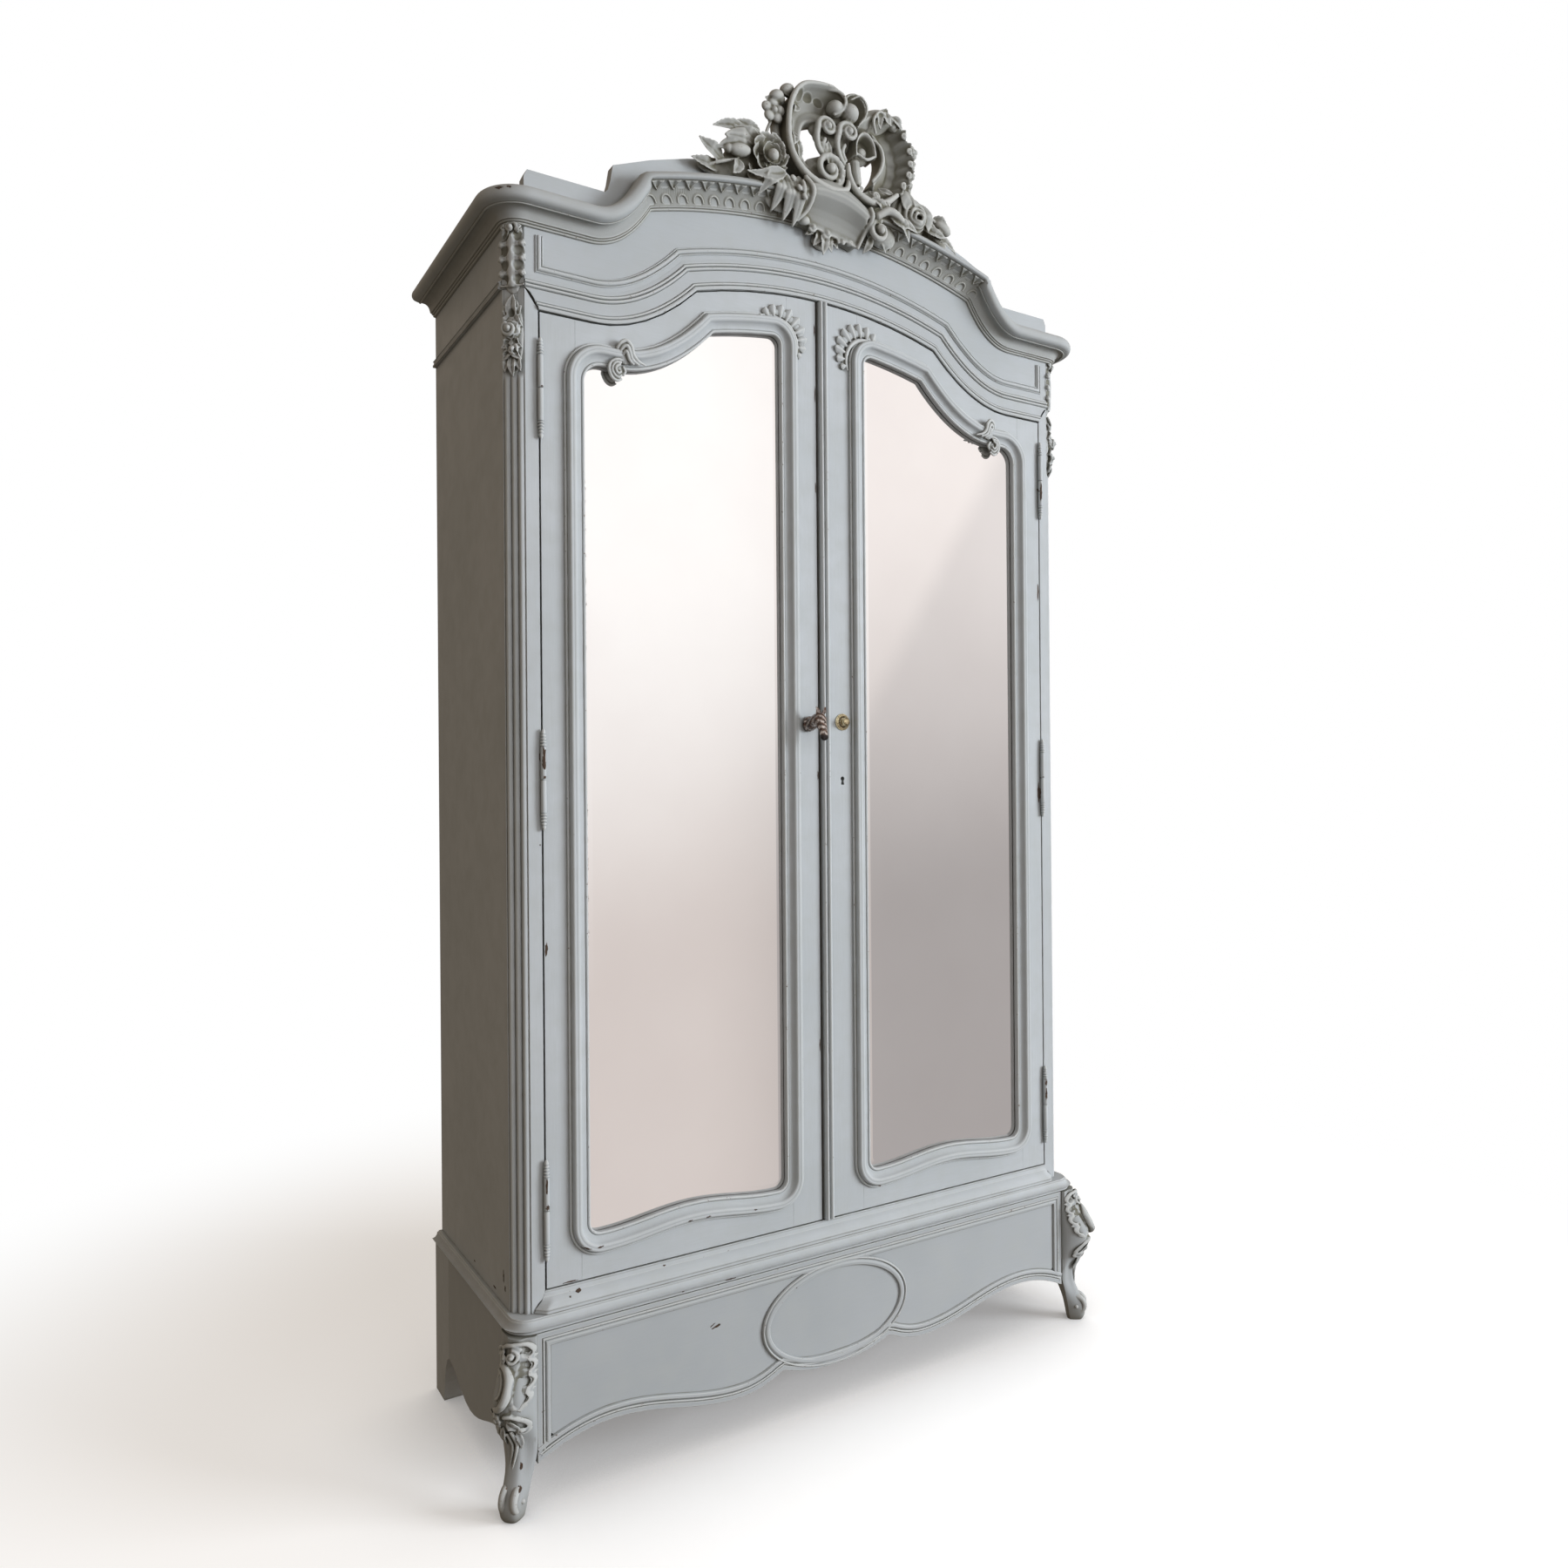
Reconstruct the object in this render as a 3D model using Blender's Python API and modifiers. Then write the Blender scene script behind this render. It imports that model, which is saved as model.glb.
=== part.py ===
"""Two-door mirrored armoire with a hidden base drawer and a carved crown, in metres, +Z up.

x runs across the front and z up from the floor. Depths are measured back from the front face of
the doors, so y = FACE_Y + depth and a negative depth stands proud of the doors. The object is
symmetric about x = 0, so most pieces are described by their distance u from the centre line and
built once for each side (-1 is the left, +1 the right).
"""

import math

import bmesh
import bpy
from mathutils import Matrix, Vector

# ---- driving dimensions -------------------------------------------------------------------------
FACE_Y = -0.194  # places the middle of the whole depth at y = 0
GAP = 0.0003  # between pieces that touch
BACK = 0.4525  # depth of the back plane
HALF_WIDTH = 0.635  # cabinet sides
BOARD = 0.018  # thickness of sides, floor and shelf

BASE_TOP = 0.2912  # top of legs and aprons
RING_TOP = 0.3145  # top of the moulded frame on the base
SILL_TOP = 0.3485
CROWN_SEAM = 2.0475  # where the crown lifts off
DUST_BOARD_Z = 2.165
CROWN_SIDE_TOP = 2.196

POST_INNER = 0.5825
POST_FLAT = 0.606  # where the chamfer starts
CHAMFER = 0.029
POST_DEPTH = 0.034

DOOR_OUTER = 0.5795
DOOR_BOTTOM = 0.351
DOOR_THICK = 0.025
HEAD_CLEARANCE = 0.0015  # above and below the line of the door heads
MEETING_EDGE = {-1: 0.0175, 1: -0.0125}  # u of each door's free edge
SIGHT_INNER = 0.099  # u of the mirror's visible edges
SIGHT_OUTER = 0.501
REBATE = 0.0155  # the frame's opening is this much larger than the visible mirror
MOULD_WIDTH = 0.038

HINGE_U = 0.5808
HINGE_DEPTH = -0.0055
HINGE_HEIGHTS = (0.485, 1.215, 1.880)
BARREL_RADIUS = 0.0045

KNOB_LEFT = (-0.041, 1.322)  # x, z
KNOB_RIGHT = (0.0395, 1.3275)
LOCK_Z = 1.212
BOLT_DEPTH = (0.0265, 0.0335)

DRAWER_HALF = 0.6065
DRAWER_TOP = 0.2905
DRAWER_FACE = -0.0254
DRAWER_THICK = 0.022
DRAWER_BOX_BACK = 0.392
LEFT_APRON_DROP = 0.008  # at the outer end of the left half
DRAWER_BOX_Z = (0.150, 0.275)

LEG_INNER = 0.607
LEG_OUTER = 0.648
BACK_LEG_INNER = 0.600
BACK_LEG_FRONT = 0.360

SHELF_Z = 1.200
NOSE_HALF = 0.655  # tip of the base nosing
NOSE_DEPTH = -0.033
NOSE_CORNER = 0.045


class Hat:
    """A line that is level at the sides, sweeps up to a kink, and arches over the middle."""

    def __init__(self, flat, side_z, kink, crown_z):
        self.flat, self.side_z, self.crown_z = flat, side_z, crown_z
        self.kink_u, self.kink_z = kink
        rise = crown_z - self.kink_z
        self.radius = (self.kink_u**2 + rise**2) / (2 * rise)

    def z(self, u):
        u = abs(u)
        if u >= self.flat:
            return self.side_z
        if u >= self.kink_u:
            t = (self.flat - u) / (self.flat - self.kink_u)
            return self.side_z + (self.kink_z - self.side_z) * t * t
        return self.crown_z - self.radius + math.sqrt(self.radius**2 - u * u)

    def points(self, start, end, sweep_steps=6, arch_steps=5):
        """(u, z) along the line from start to end, both on one side, start further out."""
        stops = [start]
        for i in range(sweep_steps):
            stops.append(self.flat + (self.kink_u - self.flat) * i / sweep_steps)
        for i in range(arch_steps + 1):
            stops.append(self.kink_u * (1 - i / arch_steps))
        inside = [u for u in stops if end < u <= start] + [end]
        return [(u, self.z(u)) for u in inside]


DOOR_HEAD = Hat(0.485, 2.0125, (0.279, 2.113), 2.153)
MIRROR_HEAD = Hat(0.440, 1.940, (0.245, 2.044), 2.073)
CORNICE_TOP = Hat(0.490, 2.201, (0.405, 2.279), 2.341)
BOARD_TOP = Hat(0.458, 2.2485, (0.443, 2.300), 2.395)

PARTS = None
CUTTERS = None


# ---- scene, materials and mesh helpers ----------------------------------------------------------
def clear_scene():
    for obj in list(bpy.data.objects):
        bpy.data.objects.remove(obj, do_unlink=True)


def new_collection(name):
    collection = bpy.data.collections.new(name)
    bpy.context.scene.collection.children.link(collection)
    return collection


def principled(name, colour, roughness, metallic=0.0):
    material = bpy.data.materials.new(name)
    material.use_nodes = True
    shader = material.node_tree.nodes["Principled BSDF"]
    shader.inputs["Base Color"].default_value = (*colour, 1.0)
    shader.inputs["Roughness"].default_value = roughness
    shader.inputs["Metallic"].default_value = metallic
    return material


def place(name, mesh, material, collection=None):
    mesh.materials.clear()
    mesh.materials.append(material)
    obj = bpy.data.objects.new(name, mesh)
    (collection or PARTS).objects.link(obj)
    return obj


def place_bmesh(name, bm, material, collection=None):
    bmesh.ops.recalc_face_normals(bm, faces=bm.faces)
    mesh = bpy.data.meshes.new(name)
    bm.to_mesh(mesh)
    bm.free()
    return place(name, mesh, material, collection)


def box(name, u_range, depth_range, z_range, material, collection=None):
    """A board between two x values, two depths and two heights."""
    low = Vector((u_range[0], FACE_Y + depth_range[0], z_range[0]))
    high = Vector((u_range[1], FACE_Y + depth_range[1], z_range[1]))
    bm = bmesh.new()
    size = Matrix.Diagonal((*(high - low), 1.0))
    bmesh.ops.create_cube(bm, size=1.0, matrix=Matrix.Translation((low + high) / 2) @ size)
    return place_bmesh(name, bm, material, collection)


FRONT_VIEW = Matrix(((1, 0, 0, 0), (0, 0, 1, 0), (0, 1, 0, 0), (0, 0, 0, 1)))  # outline in x, z
PLAN_VIEW = Matrix.Identity(4)  # outline in x, y
SIDE_VIEW = Matrix(((0, 0, 1, 0), (1, 0, 0, 0), (0, 1, 0, 0), (0, 0, 0, 1)))  # outline in y, z


def cut_out(name, loops, view, low, high, material, collection=None):
    """A flat outline, with any further loops as holes, made thick from low to high."""
    curve = bpy.data.curves.new(name, "CURVE")
    curve.dimensions = "2D"
    curve.fill_mode = "BOTH"
    curve.extrude = (high - low) / 2
    for loop in loops:
        spline = curve.splines.new("POLY")
        spline.points.add(len(loop) - 1)
        for point, (a, b) in zip(spline.points, loop):
            point.co = (a, b, 0.0, 1.0)
        spline.use_cyclic_u = True
    guide = bpy.data.objects.new(name + "_outline", curve)
    PARTS.objects.link(guide)
    bpy.context.view_layer.update()
    flat = bpy.data.meshes.new_from_object(guide.evaluated_get(bpy.context.evaluated_depsgraph_get()))
    bpy.data.objects.remove(guide, do_unlink=True)
    bm = bmesh.new()
    bm.from_mesh(flat)
    bmesh.ops.remove_doubles(bm, verts=bm.verts, dist=1e-5)
    middle = Matrix.Translation((0, 0, (low + high) / 2))
    bmesh.ops.transform(bm, matrix=view @ middle, verts=bm.verts)
    bpy.data.meshes.remove(flat)
    return place_bmesh(name, bm, material, collection)


def front_board(name, outline, front, back, material, holes=(), collection=None):
    loops = [outline, *holes]
    return cut_out(name, loops, FRONT_VIEW, FACE_Y + front, FACE_Y + back, material, collection)


def upright(name, plan, z_low, z_high, material):
    """A plan outline of (x, depth) points, made tall."""
    return cut_out(name, [[(x, FACE_Y + d) for x, d in plan]], PLAN_VIEW, z_low, z_high, material)


def side_board(name, outline, x_low, x_high, material):
    """An outline of (depth, z) points, made thick across x."""
    return cut_out(name, [[(FACE_Y + d, z) for d, z in outline]], SIDE_VIEW, x_low, x_high, material)


def loft(name, rings, material, closed=False):
    """A skin through rings that have the same number of points."""
    bm = bmesh.new()
    rows = [[bm.verts.new(p) for p in ring] for ring in rings]
    pairs = list(zip(rows, rows[1:])) + ([(rows[-1], rows[0])] if closed else [])
    for first, second in pairs:
        for i in range(len(first)):
            j = (i + 1) % len(first)
            bm.faces.new((first[i], first[j], second[j], second[i]))
    if not closed:
        bm.faces.new(rows[0])
        bm.faces.new(rows[-1])
    return place_bmesh(name, bm, material)


def turned(name, profile, location, rotation, material, steps=12):
    """A turned piece: (radius, height) points from the top down, spun about local z."""
    bm = bmesh.new()
    verts = [bm.verts.new((r, 0.0, h)) for r, h in profile]
    for a, b in zip(verts, verts[1:]):
        bm.edges.new((a, b))
    mesh = bpy.data.meshes.new(name)
    bm.to_mesh(mesh)
    bm.free()
    obj = place(name, mesh, material)
    obj.location = location
    obj.rotation_euler = rotation
    screw = obj.modifiers.new("turn", "SCREW")
    screw.steps = steps
    screw.render_steps = steps
    screw.use_merge_vertices = True
    screw.merge_threshold = 0.00005
    return obj


def join_or_cut(obj, other, operation):
    other.hide_render = True
    other.display_type = "WIRE"
    modifier = obj.modifiers.new(operation.lower(), "BOOLEAN")
    modifier.operation = operation
    modifier.solver = "EXACT"
    modifier.object = other


def joint_empty(name, x, depth, z, pieces):
    """An empty on a joint's axis, with the pieces that move with it as its children."""
    empty = bpy.data.objects.new(name, None)
    empty.location = (x, FACE_Y + depth, z)
    PARTS.objects.link(empty)
    bpy.context.view_layer.update()
    for piece in pieces:
        piece.parent = empty
        piece.matrix_parent_inverse = empty.matrix_world.inverted()
    return empty


# ---- outlines -----------------------------------------------------------------------------------
def mirrored(points, side):
    return [(side * u, z) for u, z in points]


def both_sides(half):
    """Mirrors (u, z) points that run from the outside to u = 0 into one line, left to right."""
    left = [(-u, z) for u, z in half]
    right = [(u, z) for u, z in reversed(half) if u > 1e-6]
    return left + right


def arc(centre, radius, start_deg, end_deg, steps):
    points = []
    for i in range(steps + 1):
        angle = math.radians(start_deg + (end_deg - start_deg) * i / steps)
        points.append((centre[0] + radius * math.cos(angle), centre[1] + radius * math.sin(angle)))
    return points


def offset_loop(points, distance):
    """A closed anticlockwise loop moved outwards by distance, with mitred corners."""
    moved = []
    count = len(points)
    for i in range(count):
        before, here, after = (Vector(points[k % count]) for k in (i - 1, i, i + 1))
        first = (here - before).normalized()
        second = (after - here).normalized()
        n1 = Vector((first.y, -first.x))
        n2 = Vector((second.y, -second.x))
        moved.append(tuple(here + (n1 + n2) * distance / (1 + n1.dot(n2))))
    return moved


def mirror_outline():
    """The visible edge of the mirror, anticlockwise in (u, z), serpentine below and hat-shaped above."""
    corner = 0.020
    foot_z, wave = 0.427, 0.016
    middle = (SIGHT_INNER + SIGHT_OUTER) / 2
    points = arc((SIGHT_INNER + corner, foot_z + corner), corner, 180, 270, 4)
    for i in range(1, 8):
        u = SIGHT_INNER + corner + (SIGHT_OUTER - SIGHT_INNER - 2 * corner) * i / 8
        swing = (u - middle) / (middle - SIGHT_INNER - corner)
        points.append((u, foot_z + wave * 0.5 * (1 + math.cos(math.pi * swing))))
    points += arc((SIGHT_OUTER - corner, foot_z + corner), corner, 270, 360, 4)
    shoulder = 0.033
    points += arc((SIGHT_OUTER - shoulder, MIRROR_HEAD.side_z - shoulder), shoulder, 0, 90, 5)
    head_corner = 0.018
    points += MIRROR_HEAD.points(MIRROR_HEAD.flat, SIGHT_INNER + head_corner, 5, 6)
    top = MIRROR_HEAD.z(SIGHT_INNER + head_corner)
    points += arc((SIGHT_INNER + head_corner, top - head_corner), head_corner, 100, 180, 4)
    return points


def frame_edge(lower):
    """The frame's opening between the stiles, from the lock side out, for the lower or upper rail."""
    opening = offset_loop(mirror_outline(), REBATE)
    middle_z = 1.2
    low_u = SIGHT_INNER - REBATE + GAP
    high_u = SIGHT_OUTER + REBATE - GAP
    part = [(min(max(u, low_u), high_u), z) for u, z in opening if (z < middle_z) == lower]
    return part if lower else part[::-1]


def apron_edge(u):
    """Height of the drawer front's scalloped lower edge."""
    arch_u, arch_z = 0.475, 0.1163
    lobe_u, lobe_z = 0.215, 0.075
    cusp_u, cusp_z = 0.125, 0.0987
    corner_z, middle_z = 0.083, 0.0765
    if u >= arch_u:
        return arch_z - (arch_z - corner_z) * ((u - arch_u) / (DRAWER_HALF - arch_u)) ** 2
    if u >= lobe_u:
        turn = math.pi * (arch_u - u) / (arch_u - lobe_u)
        return lobe_z + (arch_z - lobe_z) * 0.5 * (1 + math.cos(turn))
    if u >= cusp_u:
        return lobe_z + (cusp_z - lobe_z) * ((lobe_u - u) / (lobe_u - cusp_u)) ** 2
    return middle_z + (cusp_z - middle_z) * (u / cusp_u) ** 2.4


def apron_points(side):
    """The lower edge from the outside to the middle, as (u, z). The left half was cut a little lower."""
    stops = [DRAWER_HALF, 0.575, 0.54, 0.505, 0.475, 0.43, 0.39, 0.345, 0.30, 0.26, 0.215]
    stops += [0.19, 0.165, 0.143, 0.125, 0.10, 0.07, 0.035, 0.0]
    drop = LEFT_APRON_DROP / DRAWER_HALF if side < 0 else 0.0
    return [(u, apron_edge(u) - drop * u) for u in stops]


# ---- base ---------------------------------------------------------------------------------------
# height, inner u, outer u, front and back depth, and rear chamfer of a front leg, from the floor up
LEG_SECTIONS = (
    (0.000, 0.629, 0.666, -0.040, -0.004, 0.012),
    (0.010, 0.626, 0.673, -0.047, 0.000, 0.016),
    (0.030, 0.622, 0.675, -0.049, 0.002, 0.020),
    (0.052, 0.617, 0.665, -0.040, 0.006, 0.022),
    (0.075, 0.611, 0.655, -0.028, 0.014, 0.026),
    (0.095, LEG_INNER, 0.655, -0.027, 0.020, 0.020),
    (0.120, LEG_INNER, 0.658, -0.030, 0.026, 0.008),
    (0.145, LEG_INNER, 0.668, -0.043, 0.029, 0.002),
    (0.175, LEG_INNER, 0.683, -0.058, 0.030, 0.001),
    (0.205, LEG_INNER, 0.684, -0.059, 0.030, 0.001),
    (0.235, LEG_INNER, 0.668, -0.044, 0.030, 0.001),
    (0.265, LEG_INNER, 0.655, -0.032, 0.030, 0.001),
    (BASE_TOP, LEG_INNER, 0.652, -0.0295, 0.030, 0.001),
)


def front_leg(name, side, paint):
    """A cabriole leg: the knee and the toe swell along the corner's diagonal."""
    rings = []
    for z, inner, outer, front, back, rear_cut in LEG_SECTIONS:
        cut = 0.35 * (outer - inner)
        flank = max(front, DRAWER_FACE - 0.002)
        shoulder = min(outer, LEG_OUTER)
        plan = [
            (inner + rear_cut, back),
            (inner, back - rear_cut),
            (inner, flank),
            (outer - 1.6 * cut, front),
            (outer - 0.8 * cut, front),
            (outer, front + 0.8 * cut),
            (outer, front + 1.6 * cut),
            (shoulder, back),
        ]
        rings.append([(side * u, FACE_Y + d, z) for u, d in plan])
    return loft(name, rings, paint)


def back_leg(name, side, paint):
    outline = [
        (0.396, 0.0),
        (BACK, 0.0),
        (BACK, BASE_TOP),
        (BACK_LEG_FRONT, BASE_TOP),
        (BACK_LEG_FRONT, 0.098),
        (0.374, 0.088),
        (0.386, 0.066),
        (0.392, 0.036),
    ]
    low, high = sorted((side * BACK_LEG_INNER, side * LEG_OUTER))
    return side_board(name, outline, low, high, paint)


def side_apron(name, side, paint):
    front, back = 0.030 + GAP, BACK_LEG_FRONT - GAP
    lobe_depth, lobe_z = 0.225, 0.062
    edge = []
    for i in range(13):
        d = front + (back - front) * i / 12
        start_z, reach = (0.112, lobe_depth - front) if d < lobe_depth else (0.098, back - lobe_depth)
        turn = math.pi * min(abs(d - lobe_depth) / reach, 1.0)
        edge.append((d, lobe_z + (start_z - lobe_z) * 0.5 * (1 - math.cos(turn))))
    outline = edge + [(back, BASE_TOP), (front, BASE_TOP)]
    low, high = sorted((side * (LEG_OUTER - 0.020), side * LEG_OUTER))
    return side_board(name, outline, low, high, paint)


def base_moulding(paint):
    """The nosed frame on top of the base, round the front and both sides."""
    # (inwards from the tip of the nosing, height)
    section = (
        (0.040, BASE_TOP + GAP),
        (0.009, BASE_TOP + GAP),
        (0.0025, 0.2950),
        (0.000, 0.3015),
        (0.0025, 0.3080),
        (0.0085, 0.3112),
        (0.0105, RING_TOP),
        (0.040, RING_TOP),
    )
    path = [((-NOSE_HALF, BACK), (-1.0, 0.0))]
    for side in (-1, 1):
        centre = (side * (NOSE_HALF - NOSE_CORNER), NOSE_DEPTH + NOSE_CORNER)
        for i in range(7):
            turn = math.radians(15 * (i if side < 0 else 6 - i))
            normal = (side * math.cos(turn), -math.sin(turn))
            tip = tuple(c + NOSE_CORNER * n for c, n in zip(centre, normal))
            path.append((tip, normal))
    path.append(((NOSE_HALF, BACK), (1.0, 0.0)))
    rings = []
    for (x, d), (nx, nd) in path:
        rings.append([(x - w * nx, FACE_Y + d - w * nd, z) for w, z in section])
    return loft("base_moulding", rings, paint)


def door_sill(paint):
    """The ogee strip between the posts, under the doors."""
    low = RING_TOP + GAP
    profile = [(-0.018, low), (-0.018, low + 0.004), (-0.014, 0.326), (-0.006, 0.334)]
    profile += [(-0.002, 0.342), (-0.001, SILL_TOP), (POST_DEPTH, SILL_TOP), (POST_DEPTH, low)]
    return side_board("door_sill", profile, -POST_INNER + GAP, POST_INNER - GAP, paint)


def drawer_runner(name, side, wood):
    """A ledge from the front leg to the back rail, under the edge of the drawer."""
    inner, back, leg_front = 0.570, 0.4315, BACK_LEG_FRONT - GAP
    wide, narrow = LEG_INNER - GAP, BACK_LEG_INNER - GAP
    plan = [(inner, 0.001), (wide, 0.001), (wide, leg_front)]
    plan += [(narrow, leg_front), (narrow, back), (inner, back)]
    top = DRAWER_BOX_Z[0] - 0.0005
    upright(name, [(side * u, d) for u, d in plan], top - 0.020, top, wood)


def build_base(paint, wood):
    for side, word in ((-1, "left"), (1, "right")):
        front_leg(f"front_leg_{word}", side, paint)
        back_leg(f"back_leg_{word}", side, paint)
        side_apron(f"side_apron_{word}", side, paint)
        drawer_runner(f"drawer_runner_{word}", side, wood)
    inner = BACK_LEG_INNER - GAP
    box("base_back_rail", (-inner, inner), (0.432, 0.450), (0.120, BASE_TOP), wood)
    base_moulding(paint)
    door_sill(paint)


# ---- cabinet ------------------------------------------------------------------------------------
def ear_curve(drop=0.0):
    """The coped line where the frieze laps over the head of a post, from the chamfer inwards."""
    line = [(POST_FLAT, CROWN_SEAM), (0.597, 2.0420), (0.589, 2.0310), (POST_INNER - 0.0005, 2.0140)]
    return [(u, z - drop) for u, z in line]


def corner_post(name, side, paint):
    """A post with a flat front and three reeds on its chamfer, notched for the frieze's ear."""
    reed_count, reed_radius = 3, 0.0052
    span = CHAMFER * math.sqrt(2)
    along = Vector((1, 1)).normalized()
    outward = Vector((1, -1)).normalized()
    start = Vector((POST_FLAT, 0.0))
    plan = [(POST_INNER, POST_DEPTH), (POST_INNER, 0.0), tuple(start)]
    for k in range(reed_count):
        centre = start + along * span * (k + 1) / (reed_count + 1) - outward * 0.002
        for i in range(5):
            turn = math.pi * (1 - (i + 0.5) / 5)
            reed = centre + (along * math.cos(turn) + outward * math.sin(turn)) * reed_radius
            plan.append(tuple(reed))
    plan += [(HALF_WIDTH, CHAMFER), (HALF_WIDTH, POST_DEPTH)]
    plan = [(side * u, d) for u, d in plan]
    post = upright(name, plan, RING_TOP + GAP, CROWN_SEAM, paint)
    notch = ear_curve(drop=0.0008) + [(0.575, 2.0132), (0.575, 2.060), (POST_FLAT, 2.060)]
    cutter = front_board(
        f"{name}_notch", mirrored(notch, side), -0.010, POST_DEPTH + 0.010, paint, collection=CUTTERS
    )
    join_or_cut(post, cutter, "DIFFERENCE")
    return post


def build_cabinet(paint, wood):
    inner = HALF_WIDTH - BOARD
    for side, word in ((-1, "left"), (1, "right")):
        corner_post(f"corner_post_{word}", side, paint)
        width = sorted((side * inner, side * HALF_WIDTH))
        side_depth = (POST_DEPTH + GAP, BACK)
        box(f"side_panel_{word}", width, side_depth, (RING_TOP + GAP, CROWN_SEAM), paint)
    inside = (-inner + GAP, inner - GAP)
    board_depth = (POST_DEPTH + 0.001, 0.4395)
    box("floor_board", inside, board_depth, (RING_TOP + GAP, RING_TOP + GAP + BOARD), wood)
    box("shelf", inside, (0.045, 0.4390), (SHELF_Z, SHELF_Z + BOARD), wood)
    box("back_panel", inside, (0.4398, 0.4518), (RING_TOP + GAP, DUST_BOARD_Z - GAP), wood)


# ---- crown --------------------------------------------------------------------------------------
def crown_frieze(paint):
    """The board over the doors: its lower edge follows their heads, its top rises over the cornice."""
    lower = ear_curve() + [
        (u, z + HEAD_CLEARANCE) for u, z in DOOR_HEAD.points(POST_INNER - 0.002, 0.0)
    ]
    upper = [(POST_FLAT, 2.236), (0.600, BOARD_TOP.side_z)]
    upper += BOARD_TOP.points(BOARD_TOP.flat, 0.0, 3, 6)
    outline = both_sides(lower) + both_sides(upper)[::-1]
    return front_board("crown_frieze", outline, 0.0, 0.022, paint)


def crown_side(name, side, paint):
    """A crown side with its corner block, chamfered like the post below it."""
    inner = HALF_WIDTH - BOARD
    plan = [
        (POST_FLAT + GAP, GAP),
        (HALF_WIDTH, CHAMFER),
        (HALF_WIDTH, BACK),
        (inner, BACK),
        (inner, POST_DEPTH),
        (POST_FLAT + GAP, POST_DEPTH),
    ]
    plan = [(side * u, d) for u, d in plan]
    return upright(name, plan, CROWN_SEAM + GAP, CROWN_SIDE_TOP, paint)


# (outwards from the cabinet's face, down from the top edge)
CORNICE_SECTION = (
    (0.0000, 0.0000),
    (0.0470, 0.0000),
    (0.0475, 0.0080),
    (0.0440, 0.0150),
    (0.0400, 0.0180),
    (0.0280, 0.0230),
    (0.0170, 0.0310),
    (0.0110, 0.0380),
    (0.0060, 0.0410),
    (0.0050, 0.0450),
    (0.0000, 0.0460),
)


def open_offset(points, distance):
    """A left-to-right line in (x, z) moved down by distance, mitred, with level ends."""
    moved = []
    for i, here in enumerate(points):
        first = Vector(here) - Vector(points[i - 1]) if i else Vector((1.0, 0.0))
        second = Vector(points[i + 1]) - Vector(here) if i + 1 < len(points) else Vector((1.0, 0.0))
        first.normalize()
        second.normalize()
        n1 = Vector((first.y, -first.x))
        n2 = Vector((second.y, -second.x))
        moved.append(tuple(Vector(here) + (n1 + n2) * distance / (1 + n1.dot(n2))))
    return moved


def cornice(paint):
    """The crown moulding: back along both sides, round the corners, and over the hat-shaped front."""
    front_top = both_sides(CORNICE_TOP.points(POST_FLAT, 0.0, 5, 6))
    front_rows = [open_offset(front_top, drop) for _, drop in CORNICE_SECTION]
    top = CORNICE_TOP.side_z

    def side_ring(point, normal):
        ring = []
        for out, drop in CORNICE_SECTION:
            reach = out + GAP
            x = point[0] + normal[0] * reach
            ring.append((x, FACE_Y + point[1] + normal[1] * reach, top - drop))
        return ring

    def corner(side):
        rings = []
        for i in range(1, 6):
            turn = math.radians(15 * (i if side < 0 else 6 - i))
            normal = (side * math.cos(turn), -math.sin(turn))
            point = (side * POST_FLAT + CHAMFER * normal[0], CHAMFER + CHAMFER * normal[1])
            rings.append(side_ring(point, normal))
        return rings

    rings = [side_ring((-HALF_WIDTH, BACK), (-1, 0)), side_ring((-HALF_WIDTH, CHAMFER), (-1, 0))]
    rings += corner(-1)
    for i in range(len(front_top)):
        ring = []
        for row, (out, _) in zip(front_rows, CORNICE_SECTION):
            ring.append((row[i][0], FACE_Y - out - GAP, row[i][1]))
        rings.append(ring)
    rings += corner(1)
    rings += [side_ring((HALF_WIDTH, CHAMFER), (1, 0)), side_ring((HALF_WIDTH, BACK), (1, 0))]
    return loft("cornice", rings, paint)


def crest(paint):
    """The pierced carving on top, as its silhouette: leaf sprays at the ends, two scrolled frames."""
    rise = 0.0006
    foot = [-0.312 + 0.602 * i / 10 for i in range(11)]
    foot = [(x, CORNICE_TOP.z(x) + rise) for x in foot]
    profile = [
        (0.284, 2.336), (0.276, 2.352), (0.252, 2.372), (0.216, 2.384), (0.206, 2.412), (0.178, 2.428),
        (0.190, 2.458), (0.188, 2.484), (0.164, 2.500), (0.142, 2.530), (0.113, 2.546), (0.080, 2.536),
        (0.052, 2.555), (0.014, 2.543), (-0.020, 2.548), (-0.074, 2.540), (-0.104, 2.528),
        (-0.132, 2.492), (-0.143, 2.452), (-0.158, 2.436), (-0.204, 2.424), (-0.240, 2.410),
        (-0.216, 2.388), (-0.268, 2.380), (-0.290, 2.356), (-0.318, 2.334),
    ]
    left_hole = [(-0.064 + 0.014 * math.cos(t), 2.432 + 0.042 * math.sin(t)) for t in turns(12)]
    right_hole = [(0.078 + 0.016 * math.cos(t), 2.408 + 0.024 * math.sin(t)) for t in turns(10)]
    return front_board("crest", foot + profile, -0.058, -0.0006, paint, holes=(left_hole, right_hole))


def turns(count):
    return [2 * math.pi * i / count for i in range(count)]


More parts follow.
